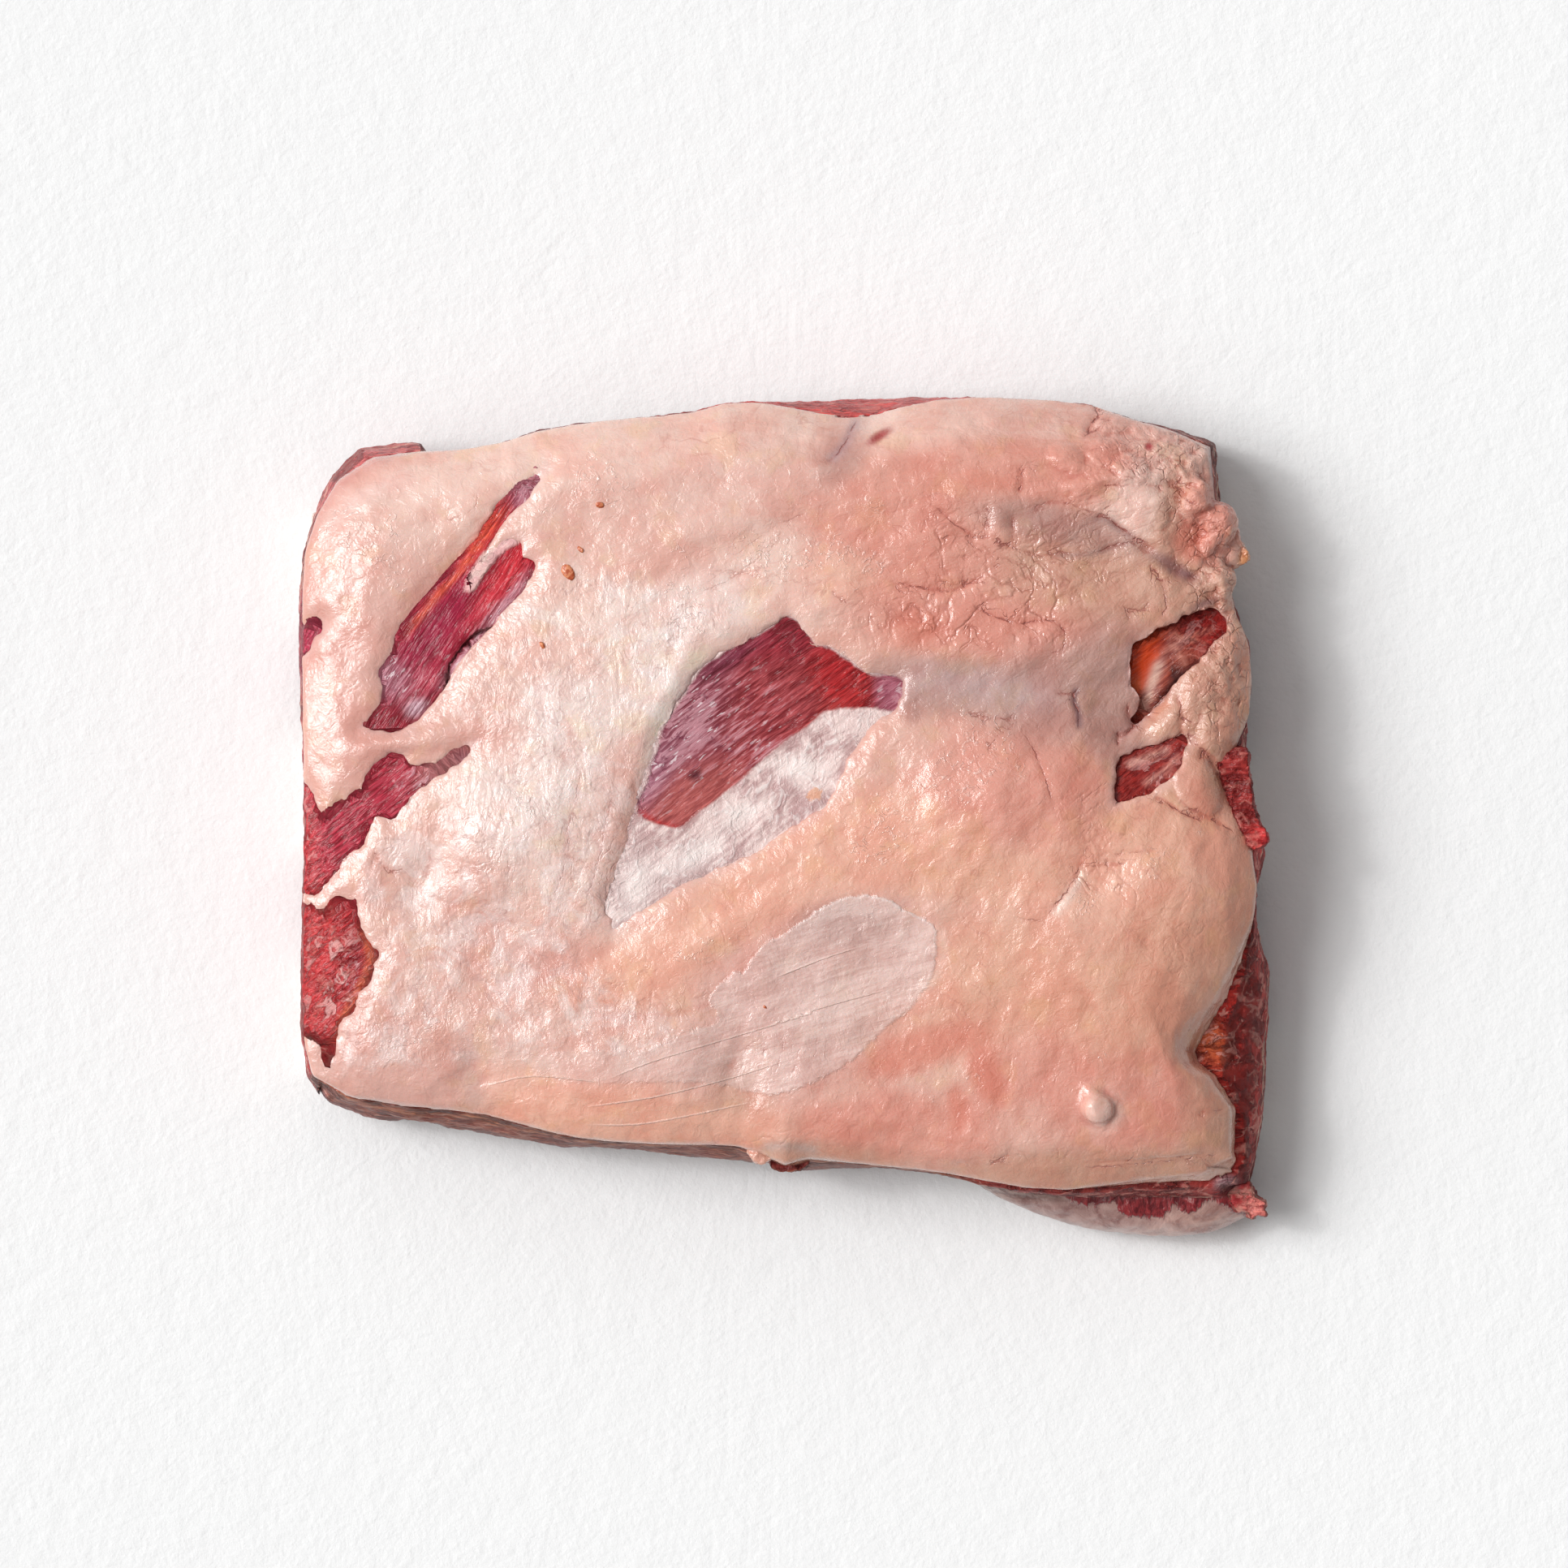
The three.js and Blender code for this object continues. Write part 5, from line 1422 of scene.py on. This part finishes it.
def capTop(at):
    # the height of the whole slab's top above a place, read off a 2 mm grid
    step = 2 * mm
    xs = np.arange(cadLow.x - 4 * step, cadHigh.x + 5 * step, step)
    ys = np.arange(cadLow.y - 4 * step, cadHigh.y + 5 * step, step)
    trees = []
    for node in ("fat_cap", "meat"):
        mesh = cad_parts[node].data
        trees.append(BVHTree.FromPolygons([v.co for v in mesh.vertices],
                                          [p.vertices for p in mesh.polygons]))
    grid = np.full((len(xs), len(ys)), 0.0)
    down = Vector((0, 0, -1))
    for i, x in enumerate(xs):
        for j, y in enumerate(ys):
            hits = [tree.ray_cast(Vector((x, y, 1)), down)[0] for tree in trees]
            grid[i, j] = max([hit.z for hit in hits if hit] or [0.0])
    i = np.clip(np.round((at[:, 0] - xs[0]) / step).astype(int), 0, len(xs) - 1)
    j = np.clip(np.round((at[:, 1] - ys[0]) / step).astype(int), 0, len(ys) - 1)
    return grid[i, j]


# the rib bones
bone = {"voxel": 0.9, "rind": 2.4, "shortened": 2.0}


def makeRib(node, material):
    name = node.split("_")[0] + node.split("_")[1].title()
    piece = copyOfNode(node, name)
    low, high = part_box(node)
    remesh(piece, bone["voxel"], 2)
    co, normal = points(piece), normals(piece)
    side = 1 - np.abs(normal[:, 0])
    weigh(piece, "side", side)
    displace(piece, "CLOUDS", 14, 0.8, "side", noise_depth=1)
    displace(piece, "CLOUDS", 3, 0.3, "side", noise_depth=2)
    piece.vertex_groups.clear()
    co, normal = points(piece), normals(piece)
    sawn = smoothstep(0.6, 0.85, np.abs(normal[:, 0]))
    sawn *= (co[:, 0] < low.x + 2 * mm) | (co[:, 0] > high.x - 2 * mm)
    core = np.zeros(len(co))
    for ends in (co[:, 0] < 0, co[:, 0] >= 0):
        atEnd = ends & (sawn > 0.3)
        if atEnd.any():
            ring = co[atEnd]
            middle = (ring.max(0) + ring.min(0)) / 2
            halfY = (ring[:, 1].max() - ring[:, 1].min()) / 2
            halfZ = (ring[:, 2].max() - ring[:, 2].min()) / 2
            y, z = (co[ends, 1] - middle[1]) / halfY, (co[ends, 2] - middle[2]) / halfZ
            core[ends] = (1 - np.hypot(y, z)) * halfZ / mm - bone["rind"]
    store(piece, "sawn", sawn)
    store(piece, "coreEdge", core)
    co[:, 0] += bone["shortened"] * mm * smoothstep(0.3, 0.9, -co[:, 0] / halfLength)
    movePoints(piece, co)
    return finishPiece(piece, material, "bone", node)


# the lobe of thin flank at the front right
flank = {
    "voxel": 0.8,
    "torn": [[52, -86], [63, -84], [79.5, -83], [93, -83], [98, -88], [101, -93], [96, -95],
             [91, -92.5], [88, -90.5], [84, -94.5], [80.5, -92], [78, -95], [70, -94.5],
             [68, -91.5], [63, -92.5], [58, -90]],
    "base": (0.42, 0.22, 0.19),
}
flankSpots = [
    ((0.5, 0.27, 0.23), 1, 86, -98, 14, 3, 8),
    ((0.36, 0.2, 0.18), 1, 60, -95, 12, 3, -10),
    ((0.26, 0.15, 0.13), 1.2, 50, -86, 10, 4, -10),
    ((0.5, 0.3, 0.27), 1, 72, -98, 10, 2, 0),
]


def flankMaterial():
    material, tree = newTree("flankSkin")
    at = objectPlace(tree)
    medium = speckle(tree, at, 6, 5, 0.6, 0.6)
    fine = speckle(tree, at, 1.2, 4, 0.6)
    layers = speckle(tree, at, 1.4, 4, 0.6, 0.5, (9, 1, 1))
    upright = speckle(tree, at, 1.5, 4, 0.6, 0.5, (1, 4, 1))
    tint = colourOf(tree, "tint")
    deep = blendColour(tree, 1.0, tint, (0.7, 0.6, 0.6), "MULTIPLY")
    pale = blendColour(tree, 1.0, tint, (1.3, 1.5, 1.5), "MULTIPLY")
    colour = blendColour(tree, ramp(tree, medium, 0.3, 0.7), deep, pale)
    colour = blendColour(tree, ramp(tree, fine, 0.55, 0.72, 0.0, 0.25), colour, (0.62, 0.42, 0.38))

    # raw red where it tore away, with pale upright wisps
    torn = ramp(tree, unevenly(tree, "tornEdge", upright, 5), -0.5, 0.5)
    rawColour = blendColour(tree, ramp(tree, upright, 0.4, 0.6), (0.13, 0.008, 0.012), (0.32, 0.03, 0.035))
    rawColour = blendColour(tree, ramp(tree, upright, 0.6, 0.7, 0.0, 0.7), rawColour, (0.66, 0.4, 0.38))
    colour = blendColour(tree, torn, colour, rawColour)

    # grey papery layers beside the fat
    grey = times(tree, value(tree, "layered"), 0.8)
    greyColour = blendColour(tree, ramp(tree, layers, 0.42, 0.58), (0.13, 0.075, 0.065), (0.42, 0.3, 0.26))
    colour = blendColour(tree, grey, colour, greyColour)
    height = total(tree, (medium, 0.5 * mm), (fine, 0.15 * mm), (times(tree, layers, grey), 0.6 * mm),
                   (times(tree, upright, torn), 0.5 * mm))
    moistFlesh(tree, colour, total(tree, (medium, 0.35), (fine, 0.3)), height, **{
        "Subsurface Weight": 0.06, "Subsurface Radius": (1.0, 0.4, 0.3), "Subsurface Scale": 0.003,
        "Coat Weight": 0.4, "Coat Roughness": 0.16})
    return material


def makeFlank(material):
    piece = copyOfNode("flank_fat", "flankFat")
    remesh(piece, flank["voxel"], 2)
    co = points(piece)
    slim = smoothstep(0.68 * halfLength, 0.34 * halfLength, co[:, 0])
    front = smoothstep(-0.78 * halfWidth, -0.9 * halfWidth, co[:, 1])
    co[:, 1] += 3.6 * mm * slim * front
    rounded = np.clip((co[:, 0] / halfLength - 0.8) / 0.16, 0, 1) ** 2
    co[:, 1] += 4.5 * mm * rounded * smoothstep(-0.9 * halfWidth, -0.98 * halfWidth, co[:, 1])
    movePoints(piece, co)
    weigh(piece, "all", np.ones(len(co)))
    displace(piece, "CLOUDS", 9, 1.4, "all", noise_depth=2)
    displace(piece, "CLOUDS", 2.6, 0.4, "all", noise_depth=2)
    piece.vertex_groups.clear()
    co, normal = points(piece), normals(piece)
    at = co[:, :2]
    storeColour(piece, "tint", paint(flank["base"], at, flankSpots))
    torn = insideDistance(at, flank["torn"])
    store(piece, "tornEdge", np.where(normal[:, 2] > -0.2, torn, -12))
    store(piece, "layered", smoothstep(0.66, 0.5, at[:, 0] / halfLength)
          * smoothstep(-0.93, -0.87, at[:, 1] / halfWidth))
    return finishPiece(piece, material, "flank", "flank_fat")


# torn scraps at the edges: outline, lowest and highest point in mm
fatScraps = [
    ([[91, 70.5], [92, 71.5], [93, 69.5], [94, 66], [96, 62], [95, 60.5], [92.5, 60], [91, 61],
      [89, 63], [89, 67]], 28, 37),
    ([[-7.5, -78], [-5.5, -76.5], [-3, -76], [-1.5, -78.5], [-2, -80.5], [-4.5, -82], [-6.5, -81]], 36, 43),
]
meatScraps = [
    ([[89, 12.5], [90.5, 15.5], [95, 16.5], [96, 9], [97, 1], [99.5, -4], [99, -6.5], [97, -7.5],
      [95.5, -6.5], [93.5, -2], [91.5, 3], [90, 8.5]], 30, 45),
    ([[91, -86.5], [95, -86], [97, -88], [98, -90.5], [99.8, -91.5], [99, -93], [99.7, -94.8],
      [97.8, -94.4], [96.6, -95.8], [95.4, -93.8], [93.6, -94], [92, -90.5]], 12, 24),
    ([[-3, -80], [-1.5, -79], [2, -78.5], [4.5, -79.5], [5.5, -81.8], [3.5, -83.5], [0, -84],
      [-2.5, -82.5]], 26, 37),
]


def cutSlab(name, outline, low, high):
    # a flat scrap of flesh with this outline
    line = closedCurve(outline, 3)
    count = len(line)
    corners = [(x, y, z * mm) for z in (low, high) for x, y in line]
    faces = [tuple(range(count)), tuple(range(count, 2 * count))]
    faces += [(i, (i + 1) % count, (i + 1) % count + count, i + count) for i in range(count)]
    mesh = bpy.data.meshes.new(name)
    mesh.from_pydata(corners, [], faces)
    piece = bpy.data.objects.new(name, mesh)
    bpy.context.scene.collection.objects.link(piece)
    select(piece)
    bpy.ops.object.mode_set(mode="EDIT")
    bpy.ops.mesh.select_all(action="SELECT")
    bpy.ops.mesh.normals_make_consistent(inside=False)
    bpy.ops.object.mode_set(mode="OBJECT")
    return piece


def makeScraps(name, scraps):
    pieces = [cutSlab(name, *scrap) for scrap in scraps]
    bpy.ops.object.select_all(action="DESELECT")
    for piece in pieces:
        piece.select_set(True)
    bpy.context.view_layer.objects.active = pieces[0]
    bpy.ops.object.join()
    piece = pieces[0]
    piece.name = piece.data.name = name
    remesh(piece, 0.5, 3)
    weigh(piece, "all", np.ones(len(piece.data.vertices)))
    displace(piece, "CLOUDS", 4, 1.8, "all", noise_depth=2)
    displace(piece, "CLOUDS", 1.4, 1.2, "all", noise_depth=2)
    piece.vertex_groups.clear()
    return piece


def makeFatScraps(material):
    piece = makeScraps("fatScraps", fatScraps)
    storeFatLooks(piece)
    return finishPiece(piece, material, "fat")


def makeMeatScraps(material):
    piece = makeScraps("meatScraps", meatScraps)
    flat = np.zeros(len(piece.data.vertices))
    storeMeatLooks(piece, flat, 0.5)
    return finishPiece(piece, material, "meat")


# flecks lying on the fat: place, length and width in mm, turn in degrees
crumbs = [
    (-37.5, 74, 2.2, 1.3, -20),
    (-41.5, 63.5, 2.4, 1.2, -50),
    (-44, 58.5, 5.4, 3.2, -55),
    (-49.5, 41.5, 2.8, 1.2, -60),
    (-4, -44.5, 1.4, 0.7, -40),
]


def crumbMaterial():
    material, tree = newTree("crumb")
    fine = speckle(tree, objectPlace(tree), 1.2, 3)
    colour = blendColour(tree, ramp(tree, fine, 0.4, 0.6), (0.5, 0.09, 0.03), (0.78, 0.28, 0.13))
    moistFlesh(tree, colour, 0.35, times(tree, fine, 0.2 * mm),
               **{"Coat Weight": 0.4, "Coat Roughness": 0.15})
    return material


def makeCrumbs(material, fatCap):
    surface = BVHTree.FromPolygons([v.co for v in fatCap.data.vertices],
                                   [p.vertices for p in fatCap.data.polygons])
    made = []
    for u, v, length, width, turn in crumbs:
        x, y = toMetres([[u, v]])[0]
        hit = surface.find_nearest(Vector((x, y, 60 * mm)))[0]
        bpy.ops.mesh.primitive_ico_sphere_add(subdivisions=2, radius=0.5 * mm, location=hit,
                                              rotation=(0, 0, math.radians(turn)),
                                              scale=(length, width, 0.9))
        bpy.ops.object.transform_apply(location=True, rotation=True, scale=True)
        made.append(bpy.context.object)
    bpy.ops.object.select_all(action="DESELECT")
    for chip in made:
        chip.select_set(True)
    bpy.ops.object.join()
    piece = bpy.context.object
    piece.name = piece.data.name = "crumbs"
    weigh(piece, "all", np.ones(len(piece.data.vertices)))
    displace(piece, "CLOUDS", 1.2, 1.1, "all", noise_depth=1)
    piece.vertex_groups.clear()
    return finishPiece(piece, material, "meat")


# floor, light and camera
stageLook = {
    "floor": (0.9, 0.9, 0.9),
    "fillPower": 0.16,
    # power, softness, turn and rise in degrees
    "suns": {"keyLightLeft": (2.0, 34, 167, 51), "crispLightLeft": (0.42, 7, 164, 51),
             "skylightBackLeft": (1.15, 104, 152, 52)},
    "cameraHeight": 4.0,
    "cameraShift": (0.1 * mm, 9.7 * mm),
    "frameWidth": 0.4562,
}


def makeStage():
    bpy.ops.object.select_all(action="DESELECT")
    bpy.ops.mesh.primitive_plane_add(size=6, location=(0, 0, cadLow.z))
    floor = bpy.context.object
    floor.name = "floor"
    material, tree = newTree("palePaper")
    at = objectPlace(tree)
    paper = total(tree, (speckle(tree, at, 9, 6, 0.65), 0.8 * mm),
                  (speckle(tree, at, 2.2, 4, 0.6), 0.25 * mm))
    bump = addNode(tree, "Bump", {"Height": paper, "Distance": 1.0, "Strength": 0.8})
    shader = addNode(tree, "BsdfPrincipled", {"Base Color": (*stageLook["floor"], 1), "Roughness": 0.9,
                                              "Normal": bump.outputs[0]})
    tree.links.new(shader.outputs[0], addNode(tree, "OutputMaterial").inputs[0])
    floor.data.materials.append(material)
    floor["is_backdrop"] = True

    world = bpy.data.worlds.new("softRoom")
    bpy.context.scene.world = world
    world.use_nodes = True
    world.node_tree.nodes["Background"].inputs["Color"].default_value = (1, 1, 1, 1)
    world.node_tree.nodes["Background"].inputs["Strength"].default_value = stageLook["fillPower"]

    for name, (power, softness, turn, rise) in stageLook["suns"].items():
        turn, rise = math.radians(turn), math.radians(rise)
        towards = Vector((math.cos(turn) * math.cos(rise), math.sin(turn) * math.cos(rise), math.sin(rise)))
        bpy.ops.object.light_add(type="SUN", location=towards * 2)
        light = bpy.context.object
        light.name = name
        light.data.energy = power
        light.data.angle = math.radians(softness)
        light.rotation_euler = towards.to_track_quat("Z", "Y").to_euler()

    bpy.ops.object.camera_add(location=(*stageLook["cameraShift"], stageLook["cameraHeight"]))
    camera = bpy.context.object
    camera.name = "topCamera"
    camera.data.sensor_width = 36
    camera.data.lens = 36 * stageLook["cameraHeight"] / stageLook["frameWidth"]
    camera.data.clip_end = 20
    bpy.context.scene.camera = camera
    bpy.context.scene.view_settings.view_transform = "Standard"
    print("stage set")


makeStage()
fatSkin, meatSkin, boneSkin = fatMaterial(), meatMaterial(), boneMaterial()
fatCap = makeFatCap(fatSkin)
makeMeat(meatSkin)
for node in ("rib_back", "rib_middle", "rib_front"):
    makeRib(node, boneSkin)
makeFlank(flankMaterial())
makeFatScraps(fatSkin)
makeMeatScraps(meatSkin)
makeCrumbs(crumbMaterial(), fatCap)
